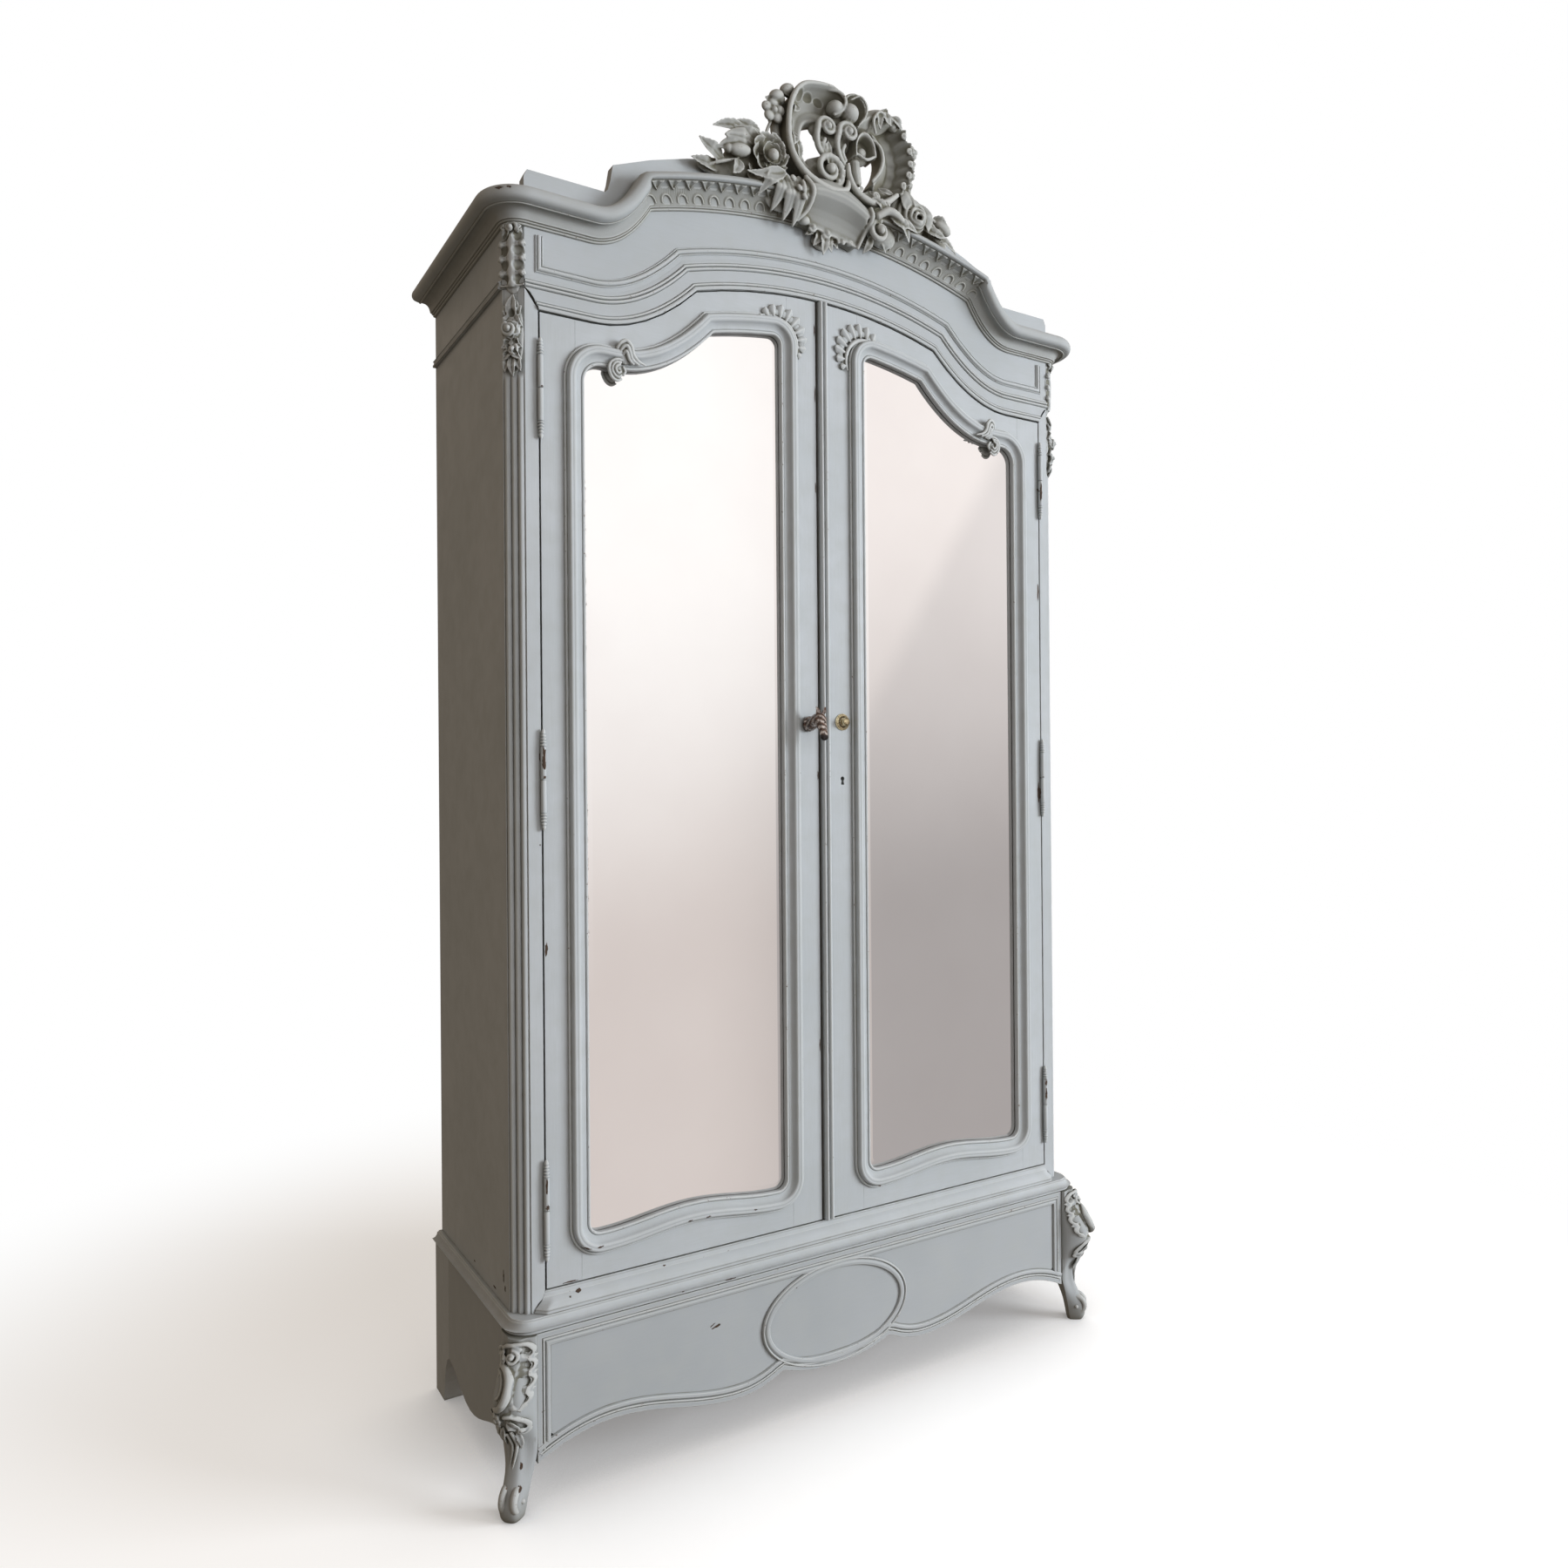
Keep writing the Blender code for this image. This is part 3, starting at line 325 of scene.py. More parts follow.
def paint_material(name, grain=ALONG_Z, grime_and_shade_amount=0.8, film_and_shade=0.0, least=0.1, painted_shade_factor=1.0):
    """Old hand-brushed satin paint. grain is the stretch of the brush strokes, grime_and_shade_amount the
    real soiling and painted shade that darken recesses and corners, and film_and_shade a brown coat over deep
    carving, partly real soiling and partly painted shade, at the least this share of it everywhere, as
    painted shade.
    painted_shade_factor darkens the paint itself, painted shade for parts that stand in less light."""
    material, tree, where = new_material(name)
    stretched = node(tree, "Mapping", {"Vector": where, "Scale": grain}).outputs[0]
    strokes = noise(tree, stretched, 420.0, 4.0, Roughness=0.6)
    broad = noise(tree, where, 3.2, 3.0)
    blotch = noise(tree, where, 26.0, 4.0)
    speck = noise(tree, where, 170.0, 3.0, Roughness=0.65)
    cavity = attribute(tree, "cavity")

    # the factor here darkens both paint colours: painted shade for parts that stand in less light
    deeper, lighter = (rgb(*(painted_shade_factor * part for part in hue)) for hue in (PAINT_DEEP, PAINT_LIGHT))
    colour = mix(tree, spread(tree, broad, 0.3, 0.7), deeper, lighter)
    colour = mix(tree, spread(tree, blotch, 0.42, 0.72, 0.0, 0.35), colour, rgb(0.383, 0.412, 0.42))
    colour = mix(tree, spread(tree, strokes, 0.35, 0.65, 0.1, 0.0), colour, rgb(0.3, 0.325, 0.32))
    # a brown coat darkest where other surfaces stand within 5 cm, partly real soiling in the carving and
    # partly painted shade under and between parts; its least share darkens everything, painted shade
    if film_and_shade:
        film_and_shade_mask = times(tree, spread(tree, openness(tree, 0.05), 0.92, 0.5, least, 1.0), film_and_shade)
        colour = mix(tree, film_and_shade_mask, colour, rgb(0.152, 0.144, 0.108))
    # ridges painted lighter, a painted highlight; hollows and corners darkened, partly real soiling and
    # partly painted shade; and specks worn down to the wood
    ridge_highlight = times(tree, spread(tree, cavity, 0.15, 0.9), 0.42)
    colour = mix(tree, ridge_highlight, colour, rgb(0.6, 0.625, 0.62))
    corner = times(tree, spread(tree, openness(tree, 0.012), 0.8, 0.25), 0.8)
    grime_and_shade = maths(tree, "MAXIMUM", spread(tree, cavity, -0.1, -0.85), corner)
    grime_and_shade = times(tree, grime_and_shade, spread(tree, blotch, 0.25, 0.6, 0.55, 1.0))
    grime_and_shade = maths(tree, "MULTIPLY", grime_and_shade, grime_and_shade_amount, clamp=True)
    colour = mix(tree, grime_and_shade, colour, rgb(0.115, 0.113, 0.085))
    worn = times(tree, spread(tree, speck, 0.66, 0.7), spread(tree, cavity, 0.35, 0.75))
    colour = mix(tree, worn, colour, rgb(0.1, 0.052, 0.032))
    rough = plus(tree, spread(tree, blotch, 0.3, 0.7, 0.4, 0.56), times(tree, grime_and_shade, 0.25))
    height = plus(tree, times(tree, strokes, 0.75), times(tree, speck, 0.45))
    height = maths(tree, "SUBTRACT", height, times(tree, worn, 1.2))
    principled(tree, colour, rough, (0.22, 0.0006, height), {"Specular IOR Level": 0.42})
    return material


def wood_material(name, light, dark, grain):
    """Bare wood with its grain along one axis."""
    material, tree, where = new_material(name)
    stretched = node(tree, "Mapping", {"Vector": where, "Scale": grain}).outputs[0]
    rings = noise(tree, stretched, 42.0, 5.0, Roughness=0.62, Distortion=0.6)
    fine = noise(tree, stretched, 380.0, 2.0)
    stain = noise(tree, where, 5.0, 3.0)
    colour = mix(tree, spread(tree, rings, 0.36, 0.66), light, dark)
    colour = mix(tree, spread(tree, fine, 0.45, 0.75, 0.0, 0.4), colour, dark)
    colour = mix(tree, spread(tree, stain, 0.5, 0.75, 0.0, 0.35), colour, rgb(0.1, 0.065, 0.04))
    rough = spread(tree, rings, 0.3, 0.7, 0.55, 0.75)
    principled(tree, colour, rough, (0.25, 0.0008, plus(tree, rings, fine)))
    return material


def mirror_material():
    """Old silvering: slightly cloudy, and brown where the silver_loss attribute lets it go."""
    material, tree, where = new_material("old_mirror")
    cloud = noise(tree, where, 5.0, 5.0)
    spots = noise(tree, where, 70.0, 4.0, Roughness=0.7)
    edge = attribute(tree, "silver_loss")
    loss = spread(tree, plus(tree, edge, times(tree, spots, 0.8)), 1.05, 1.25)
    colour = mix(tree, spread(tree, cloud, 0.3, 0.7), rgb(0.9, 0.885, 0.875), rgb(0.93, 0.92, 0.91))
    colour = mix(tree, loss, colour, rgb(0.16, 0.125, 0.1))
    rough = plus(tree, spread(tree, cloud, 0.35, 0.75, 0.018, 0.045), times(tree, loss, 0.3))
    principled(tree, colour, rough, None, {"Metallic": 1.0})
    return material


def metal_material(name, bright, dull, metallic, roughness):
    """Metal or painted metal, duller in patches, and dark in its grooves and tight corners, partly tarnish
    and partly painted shade.
    """
    material, tree, where = new_material(name)
    patch = noise(tree, where, 260.0, 4.0)
    colour = mix(tree, spread(tree, patch, 0.42, 0.66), bright, dull)
    # grooves and tight corners darkened: partly tarnish, partly painted shade
    groove = spread(tree, attribute(tree, "cavity"), -0.1, -0.8)
    hollow = maths(tree, "MAXIMUM", groove, spread(tree, openness(tree, 0.006), 0.75, 0.3))
    colour = mix(tree, times(tree, hollow, 0.8), colour, rgb(0.045, 0.035, 0.025))
    rough = spread(tree, patch, 0.35, 0.7, roughness, roughness + 0.2)
    principled(tree, colour, rough, (0.15, 0.0003, patch), {"Metallic": metallic})
    return material


def striped_bronze_material():
    """Dark bronze with pale enamel stripes across the neck and muzzle, and a dark nose."""
    material, tree, where = new_material("striped_bronze")
    bands = node(
        tree,
        "TexWave",
        {"Vector": where, "Scale": 46.0, "Distortion": 3.0, "Detail": 1.0, "Detail Scale": 30.0},
        wave_type="BANDS",
        bands_direction="DIAGONAL",
    ).outputs["Fac"]
    wear = noise(tree, where, 240.0, 3.0)
    height = node(tree, "SeparateXYZ", {0: where}).outputs["Z"]
    middle = KNOB_LEFT[1]
    low = spread(tree, height, middle + 0.012, middle - 0.004, 0.55, 1.0)
    nose = spread(tree, height, middle - 0.022, middle - 0.025)
    stripe = times(tree, spread(tree, bands, 0.52, 0.66), low)
    stripe = times(tree, stripe, spread(tree, wear, 0.35, 0.55))
    colour = mix(tree, spread(tree, wear, 0.4, 0.65), rgb(0.04, 0.027, 0.023), rgb(0.15, 0.08, 0.05))
    colour = mix(tree, stripe, colour, rgb(0.66, 0.61, 0.58))
    colour = mix(tree, nose, colour, rgb(0.018, 0.014, 0.013))
    rough = spread(tree, wear, 0.3, 0.7, 0.28, 0.46)
    principled(tree, colour, rough, (0.2, 0.0003, wear), {"Metallic": 0.35})
    return material


def bare_chip_material():
    """Dark wood where the paint has flaked."""
    material, tree, where = new_material("flaked_wood")
    patch = noise(tree, where, 500.0, 3.0)
    colour = mix(tree, spread(tree, patch, 0.38, 0.62), rgb(0.026, 0.019, 0.015), rgb(0.085, 0.054, 0.038))
    principled(tree, colour, 0.75, (0.5, 0.0005, patch))
    return material


# ---- mesh helpers -------------------------------------------------------------------------------
def chain(start, *steps, step=0.0009):
    """A dense section line. Each step is (a, b) or (a, b, sag), bulging by sag to the left of the way."""
    points = [np.array(start, float)]
    for a, b, *sag in steps:
        p, q = points[-1], np.array((a, b), float)
        bow = sag[0] if sag else 0.0
        chord = q - p
        length = max(float(np.hypot(*chord)), 1e-9)
        count = max(1, math.ceil(length / (step if bow else 2.5 * step)))
        left = np.array((-chord[1], chord[0])) / length
        for i in range(1, count + 1):
            t = i / count
            points.append(p + chord * t + left * (4 * bow * t * (1 - t)))
    return np.array(points)


def section_cavity(section, reach=0.0022, full=0.0006):
    """-1 in the section's hollows and +1 on its ridges; outside is to the left of the way."""
    gaps = np.hypot(*np.diff(section, axis=0).T)
    along = np.concatenate(([0.0], np.cumsum(gaps)))
    share = np.concatenate((gaps[:1], (gaps[1:] + gaps[:-1]) / 2, gaps[-1:]))
    weight = np.exp(-(((along[:, None] - along[None, :]) / reach) ** 2)) * share[None, :]
    smooth = (weight @ section) / weight.sum(1, keepdims=True)
    way = np.gradient(section, axis=0)
    way /= np.maximum(np.hypot(way[:, :1], way[:, 1:]), 1e-9)
    left = np.stack((-way[:, 1], way[:, 0]), 1)
    value = ((section - smooth) * left).sum(1) / full
    value[0] = value[-1] = 0.0
    return np.clip(value, -1, 1)


class Shape:
    """Collects vertices, faces and a recess value for each vertex, then makes one object of them."""

    def __init__(self):
        self.verts, self.faces, self.cavity = [], [], []

    def add(self, verts, faces, cavity=None):
        start = len(self.verts)
        self.verts.extend(map(tuple, verts))
        self.faces.extend(tuple(start + i for i in face) for face in faces)
        values = [0.0] * len(verts) if cavity is None else list(map(float, cavity))
        self.cavity.extend(values)
        return self

    def grid(self, rings, section_value=None, closed=False, facing=None):
        """A skin over rings of points. facing is a direction that most of its faces look towards."""
        rings = np.asarray(rings, float)
        count, width = rings.shape[:2]
        i = np.arange(count if closed else count - 1)[:, None]
        j = np.arange(width - 1)[None, :]
        a = i * width + j
        b = ((i + 1) % count) * width + j
        faces = np.stack((a, a + 1, b + 1, b), -1).reshape(-1, 4)
        verts = rings.reshape(-1, 3)
        if facing is not None:
            p, q, r = verts[faces[:, 0]], verts[faces[:, 1]], verts[faces[:, 3]]
            if (np.cross(q - p, r - p) @ np.array(facing, float)).sum() < 0:
                faces = faces[:, ::-1]
        value = section_value
        if value is not None:
            value = np.tile(value, count) if np.ndim(value) == 1 else np.reshape(value, -1)
        return self.add(verts, faces.tolist(), value)

    def run(self, rings, section, facing=(0, -1, 0)):
        """An open skin along rings of one section, with the section's own hollows and ridges."""
        return self.grid(rings, section_cavity(section), False, facing)

    def piece(self, name, material, body="carcass", slot="painted_wood", replaces=(), crease=38):
        mesh = bpy.data.meshes.new(name)
        mesh.from_pydata(self.verts, [], self.faces)
        mesh.update()
        values = mesh.attributes.new("cavity", "FLOAT", "POINT")
        values.data.foreach_set("value", np.array(self.cavity, np.float32))
        mesh.shade_smooth()
        mesh.set_sharp_from_angle(angle=math.radians(crease))
        mesh.materials.append(material)
        obj = bpy.data.objects.new(name, mesh)
        bpy.context.scene.collection.objects.link(obj)
        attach(obj, body)
        if replaces:
            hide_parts(*replaces)
        return obj

    def close_ends(self, rings):
        """Flat caps on the first and last ring."""
        for ring in (rings[0], rings[-1]):
            self.add(ring, [tuple(range(len(ring)))])
        return self


def mitred(path):
    """Unit-offset normals to the right of the way round a closed flat path, stretched at its corners."""
    path = np.asarray(path, float)
    first, second = path - np.roll(path, 1, 0), np.roll(path, -1, 0) - path
    first /= np.hypot(first[:, :1], first[:, 1:])
    second /= np.hypot(second[:, :1], second[:, 1:])
    n1 = np.stack((first[:, 1], -first[:, 0]), 1)
    n2 = np.stack((second[:, 1], -second[:, 0]), 1)
    return (n1 + n2) / (1 + (n1 * n2).sum(1))[:, None]


def placed(x, depth, z):
    """Points from arrays or numbers, depth back from the doors' front face."""
    return np.stack(np.broadcast_arrays(x, FACE_Y + depth, z), -1)


def front_sweep(shape, path, section, side=1, base=0.0, hollow=1):
    """Sweeps a (w, proud) section round a closed (u, z) path on the front, w to the right of the way.
    hollow is -1 for a section drawn the other way round."""
    path = np.asarray(path, float)
    normals = mitred(path)
    u = path[:, None, 0] + normals[:, None, 0] * section[None, :, 0]
    z = path[:, None, 1] + normals[:, None, 1] * section[None, :, 0]
    proud = section[None, :, 1] + base
    return shape.grid(placed(side * u, -proud, z), hollow * section_cavity(section), True, (0, -1, 0))


def dense(points, step):
    """A closed polyline with extra points on its long stretches, its own corners kept."""
    points = [np.array(p, float) for p in points]
    out = []
    for p, q in zip(points, points[1:] + points[:1]):
        count = max(1, math.ceil(float(np.hypot(*(q - p))) / step))
        out += [p + (q - p) * i / count for i in range(count)]
    return np.array(out)


def arc(centre, radius, start_deg, end_deg, steps):
    turn = np.radians(np.linspace(start_deg, end_deg, steps + 1))
    return [(centre[0] + radius * math.cos(a), centre[1] + radius * math.sin(a)) for a in turn]


def mirror_outline():
    """The visible edge of the mirror, anticlockwise in (u, z)."""
    corner, foot_z, wave = 0.02, 0.427, 0.016
    middle = (SIGHT_INNER + SIGHT_OUTER) / 2
    points = arc((SIGHT_INNER + corner, foot_z + corner), corner, 180, 270, 10)
    for i in range(1, 48):
        u = SIGHT_INNER + corner + (SIGHT_OUTER - SIGHT_INNER - 2 * corner) * i / 48
        swing = (u - middle) / (middle - SIGHT_INNER - corner)
        points.append((u, foot_z + wave * 0.5 * (1 + math.cos(math.pi * swing))))
    points += arc((SIGHT_OUTER - corner, foot_z + corner), corner, 270, 360, 10)
    shoulder = 0.033
    points += arc((SIGHT_OUTER - shoulder, MIRROR_HEAD.side_z - shoulder), shoulder, 0, 90, 12)
    head_corner = 0.018
    end = SIGHT_INNER + head_corner
    row = [tuple(p) for p in MIRROR_HEAD.row(0.0, SIGHT_OUTER - shoulder, 2, 20, 40) if p[0] > end + 0.002]
    points += row[1:]
    top = MIRROR_HEAD.z(end)
    points += arc((end, top - head_corner), head_corner, 96, 180, 10)
    return points


def build_surrounds(paint):
    """The bolection moulding round each mirror: inner bead, cove, big round, and an outer fillet."""
    section = chain(
        (0.0, -0.0069), (0.0, 0.0024), (0.0046, 0.0028, 0.0014), (0.0056, 0.0016), (0.0068, 0.0022),
        (0.017, 0.0078, -0.0016), (0.0178, 0.0096), (0.0246, 0.0126, 0.0016), (0.0322, 0.0092, 0.0022),
        (0.0336, 0.005), (0.0346, 0.0046), (0.0376, 0.004, 0.0007), (0.038, 0.0),
    )
    path = dense(mirror_outline(), 0.03)
    for side, word in SIDES:
        shape = front_sweep(Shape(), path, section, side=side)
        door = f"{word}_door"
        shape.piece(f"{word}_surround_moulding", paint, door, replaces=[f"{door}_surround"])


def build_mirrors(glass):
    """Mirror plates with a shallow bevel. Silver is lost in places along their left edges."""
    outline = dense(mirror_outline(), 0.03)
    normals = mitred(outline)
    steps = ((REBATE - 0.0006, 0.008), (0.0, 0.008), (-0.013, 0.0074))
    worn_heights = {-1: ((0.9, 1.18), (1.42, 1.74)), 1: ((0.62, 1.27),)}
    for side, word in SIDES:
        rings = []
        for w, depth in steps:
            flat = outline + normals * w
            rings.append(placed(side * flat[:, 0], depth, flat[:, 1]))
        shape = Shape().grid(np.stack(rings, 1), np.zeros(3), True, (0, -1, 0))
        last = [i * 3 + 2 for i in range(len(outline))]
        shape.faces.append(tuple(last[::side]))
        door = f"{word}_door"
        mesh = shape.piece(f"{word}_mirror_plate", glass, door, "mirror_glass", [f"{door}_mirror"], 1).data
        values = mesh.attributes.new("silver_loss", "FLOAT", "POINT")
        co = np.array([v.co for v in mesh.vertices])
        edge = sum(((co[:, 2] > a) & (co[:, 2] < b)).astype(float) for a, b in worn_heights[side])
        edge = edge * (co[:, 0] < co[:, 0].min() + REBATE + 0.001)
        values.data.foreach_set("value", edge.astype(np.float32))


# ---- carving ------------------------------------------------------------------------------------
def polar(x, z, degrees, reach, proud, tall=None):
    """The point (across, height, proud) this far round and out from (x, z); tall is its upward reach."""
    a = math.radians(degrees)
    return (x + reach * math.cos(a), z + (reach if tall is None else tall) * math.sin(a), proud)


FRONT = ((0.0, 0.0), (1.0, 0.0), (0.0, -1.0))  # origin, along and outward, each as (x, depth)
CARVED_CREASE = 60


def catmull_rom(p0, p1, p2, p3, t):
    """The point at share t of the smooth curve from p1 to p2."""
    return 0.5 * (
        2 * p1 + (p2 - p0) * t + (2 * p0 - 5 * p1 + 4 * p2 - p3) * t**2 + (3 * p1 - p0 - 3 * p2 + p3) * t**3
    )


def smoothed_path(points, count):
    """A Catmull-Rom curve through the points, evenly spaced."""
    points = np.asarray(points, float)
    ends = np.concatenate((points[:1] * 2 - points[1:2], points, points[-1:] * 2 - points[-2:-1]))
    shares = np.linspace(0, 1, 12, endpoint=False)
    out = [catmull_rom(*ends[i : i + 4], t) for i in range(len(points) - 1) for t in shares]
    out = np.array(out + [points[-1]])
    along = np.concatenate(([0.0], np.cumsum(np.linalg.norm(np.diff(out, axis=0), axis=1))))
    at = np.linspace(0, along[-1], count)
    return np.stack([np.interp(at, along, out[:, k]) for k in range(out.shape[1])], 1)


class Carving:
    """Overlapping solids in millimetres, as (across, height, proud) on a plane, fused into one skin."""

    def __init__(self, frame_at=FRONT, side=1):
        self.frame_at, self.side = frame_at, side
        self.verts, self.faces, self.gouges = [], [], []

    def gouge(self, across, height, radii, depth, turn=0.0):
        """A thumb-nail hollow to be scooped out of the fused front."""
        self.gouges.append((across, height, radii, depth, math.radians(turn)))
        return self

    def rings(self, rings):
        """A capped skin over closed rings."""
        rings = np.asarray(rings, float)
        count, width = rings.shape[:2]
        start = len(self.verts)
        self.verts.extend(rings.reshape(-1, 3).tolist())
        for i in range(count - 1):
            for j in range(width):
                k = (j + 1) % width
                a, b = start + i * width, start + (i + 1) * width
                self.faces.append((a + j, a + k, b + k, b + j))
        self.faces.append(tuple(range(start, start + width)))
        self.faces.append(tuple(range(start + (count - 1) * width, start + count * width)))
        return self

    def tube(self, points, radii, sides=10, flat=1.0, count=None):
        """A round rod along a smooth curve; radii are spread evenly along it."""
        points = np.asarray(points, float)
        count = count or max(6, 5 * len(points))
        path = smoothed_path(points, count)
        radius = np.interp(np.linspace(0, 1, count), np.linspace(0, 1, len(radii)), radii)
        way = np.gradient(path, axis=0)
        way /= np.linalg.norm(way, axis=1)[:, None]
        across = np.cross(way, (0, 0, 1.0))
        size = np.linalg.norm(across, axis=1)
        across[size < 0.2] = (1.0, 0.0, 0.0)
        across /= np.linalg.norm(across, axis=1)[:, None]
        up = np.cross(across, way)
        turn = np.arange(sides) * 2 * math.pi / sides
        ring = across[:, None, :] * np.cos(turn)[None, :, None]
        ring = ring + up[:, None, :] * np.sin(turn)[None, :, None] * flat
        body = path[:, None, :] + ring * radius[:, None, None]
        tips = [path[:1, None, :] - way[:1, None, :] * radius[0] * 0.6 + ring[:1] * radius[0] * 0.5]
        tips.append(path[-1:, None, :] + way[-1:, None, :] * radius[-1] * 0.6 + ring[-1:] * radius[-1] * 0.5)
        return self.rings(np.concatenate((tips[0], body, tips[1])))

    def ball(self, centre, radii, turn=0.0):
        if not hasattr(radii, "__len__"):
            radii = (radii, radii, radii)
        c, s = math.cos(math.radians(turn)), math.sin(math.radians(turn))
        rows = []
        for a in np.radians(np.linspace(8, 172, 11)):
            ring = []
            for b in np.arange(16) * math.pi / 8:
                x, z = radii[0] * math.sin(a) * math.cos(b), radii[1] * math.sin(a) * math.sin(b)
                across, height = centre[0] + x * c - z * s, centre[1] + x * s + z * c
                ring.append((across, height, centre[2] + radii[2] * math.cos(a)))
            rows.append(ring)
        return self.rings(rows)

    def leaf(self, base, tip, width, bend=0, lift=6, cup=0.25, thick=3.2, lobes=0, vein=1.4, blunt=0.75):
        """A leaf from base to tip, both (across, height, proud). bend bows it sideways, lift bows it
        outwards in its middle, or at its start, middle and end. cup raises its edges, and lobes ruffles
        them."""
        base, tip = np.array(base, float), np.array(tip, float)
        chord = tip - base
        left = np.array((-chord[1], chord[0], 0.0))
        left /= max(np.linalg.norm(left), 1e-6)
        count, half = 20, 8
        t = np.linspace(0.0, 1.0, count)
        spine = base + chord * t[:, None] + left * (4 * bend * t * (1 - t))[:, None]
        spine[:, 2] += np.interp(t, (0, 0.5, 1), lift if np.ndim(lift) else (0, lift, 0))
        way = np.gradient(spine, axis=0)
        flat_left = np.stack((-way[:, 1], way[:, 0], np.zeros(count)), 1)
        flat_left /= np.linalg.norm(flat_left, axis=1)[:, None]
        spread_out = 0.5 * width * np.sin(math.pi * np.clip(t, 0.02, 0.985) ** blunt) ** 0.75
        rings = []
        for i in range(count):
            ripple = 1 + (0.16 * math.sin(2 * math.pi * lobes * t[i]) if lobes else 0.0)
            s = np.linspace(-1, 1, half * 2 + 1)
            across = spread_out[i] * ripple * s
            rise = cup * spread_out[i] * (s**2) - vein * np.exp(-((s / 0.16) ** 2))
            if lobes:
                rise = rise + 0.12 * width * np.abs(s) * math.sin(2 * math.pi * lobes * t[i] + 0.8)
            top = spine[i] + flat_left[i] * across[:, None]
            top[:, 2] += rise
            under = top.copy()
            under[:, 2] -= thick * (1 - 0.55 * s**2)
            rings.append(np.concatenate((top, under[::-1])))
        return self.rings(rings)

    def ribbon(self, first, second, profile, back=0.0, count=40, ruffle=0.0, waves=0):
        """A band between two flat curves. profile is (share of the way across, proud), down to back."""
        a = smoothed_path(first, count)
        b = smoothed_path(second, count)
        share = np.array([p[0] for p in profile], float)
        proud = np.array([p[1] for p in profile], float)
        fine = np.linspace(share[0], share[-1], 3 * len(profile))
        height = np.interp(fine, share, proud)
        rings = []
        for i in range(count):
            wave = ruffle * math.sin(2 * math.pi * waves * i / (count - 1))
            reach = fine * (1 + wave * fine**3)
            flat = a[i] + (b[i] - a[i]) * reach[:, None]
            level = height + 18 * wave * fine**3
            top = np.concatenate((flat, level[:, None]), 1)
            low = top[::-1].copy()
            low[:, 2] = back
            rings.append(np.concatenate((top, low)))
        return self.rings(rings)

    def spiral(self, centre, radius, start, turns, thick, proud, way=1, end=0.25, flat=1.0, rise=4.0):
        """A scroll that winds into its eye; start in degrees, way is +1 anticlockwise."""
        steps = int(14 * abs(turns)) + 4
        points, radii = [], []
        for i in range(steps + 1):
            t = i / steps
            a = start + way * 360 * turns * t
            r = radius * (1 - t) ** 0.9 + radius * end * t
            points.append(polar(*centre, a, r, proud + rise * t))
            radii.append(thick * (1 - 0.45 * t))
        self.tube(points, radii, flat=flat, count=steps * 2)
        return self.ball((centre[0], centre[1], proud + rise), (thick * 1.1, thick * 1.1, thick * 1.1))

    def press(self):
        self.verts = [(x, pressed(z), p) for x, z, p in self.verts]
        return self

    def fuse(self, voxel):
        """One skin over all the solids: its points in metres, its faces, and its recess values."""
        mesh = bpy.data.meshes.new("carving")
        mesh.from_pydata(self.verts, [], self.faces)
        bm = bmesh.new()
        bm.from_mesh(mesh)
        bmesh.ops.recalc_face_normals(bm, faces=bm.faces)
        bm.to_mesh(mesh)
        bm.free()
        rough = bpy.data.objects.new("carving", mesh)
        bpy.context.scene.collection.objects.link(rough)
        remesh = rough.modifiers.new("fuse", "REMESH")
        remesh.mode = "VOXEL"
        remesh.voxel_size = voxel
        fused = bpy.data.meshes.new_from_object(rough.evaluated_get(bpy.context.evaluated_depsgraph_get()))
        bpy.data.objects.remove(rough, do_unlink=True)
        bpy.data.meshes.remove(mesh)
        points = np.empty(len(fused.vertices) * 3)
        fused.vertices.foreach_get("co", points)
        points = points.reshape(-1, 3)
        edges = np.empty(len(fused.edges) * 2, np.int64)
        fused.edges.foreach_get("vertices", edges)
        edges = edges.reshape(-1, 2)
        faces = [tuple(f.vertices) for f in fused.polygons]
        bpy.data.meshes.remove(fused)
        ends = np.concatenate((edges, edges[:, ::-1]))
        share = np.maximum(np.bincount(ends[:, 0], minlength=len(points)), 1)

        def relaxed(values, amount):
            sums = [np.bincount(ends[:, 0], values[ends[:, 1], k], len(points)) for k in range(3)]
            return values + amount * (np.stack(sums, 1) / share[:, None] - values)

        for _ in range(2):
            points = relaxed(relaxed(points, 0.5), -0.35)
        blurred = points
        for _ in range(9):
            blurred = relaxed(blurred, 0.6)
        quads = np.array([f[:4] if len(f) >= 4 else (*f, f[0]) for f in faces])
        a, b, c, d = (points[quads[:, k]] for k in range(4))
        face_normal = np.cross(c - a, d - b)
        normal = np.zeros_like(points)
        for k in range(4):
            for axis in range(3):
                normal[:, axis] += np.bincount(quads[:, k], face_normal[:, axis], len(points))
        normal /= np.maximum(np.linalg.norm(normal, axis=1), 1e-9)[:, None]
        cavity = np.clip(((points - blurred) * normal).sum(1) / (0.42 * voxel), -1, 1)
        for _ in range(2):
            around = np.bincount(ends[:, 0], cavity[ends[:, 1]], len(points)) / share
            cavity = cavity + 0.5 * (around - cavity)
        cavity = cavity * 1.6
        for across, height, radii, depth, turn in self.gouges:
            x, z = points[:, 0] - across, points[:, 1] - height
            along_it = (x * math.cos(turn) + z * math.sin(turn)) / radii[0]
            over_it = (z * math.cos(turn) - x * math.sin(turn)) / radii[1]
            bowl = np.clip(1 - along_it**2 - over_it**2, 0, 1) * (normal[:, 2] > 0.1)
            points[:, 2] -= depth * bowl**0.8
            lip = np.exp(-(((along_it**2 + over_it**2 - 1.15) / 0.3) ** 2))
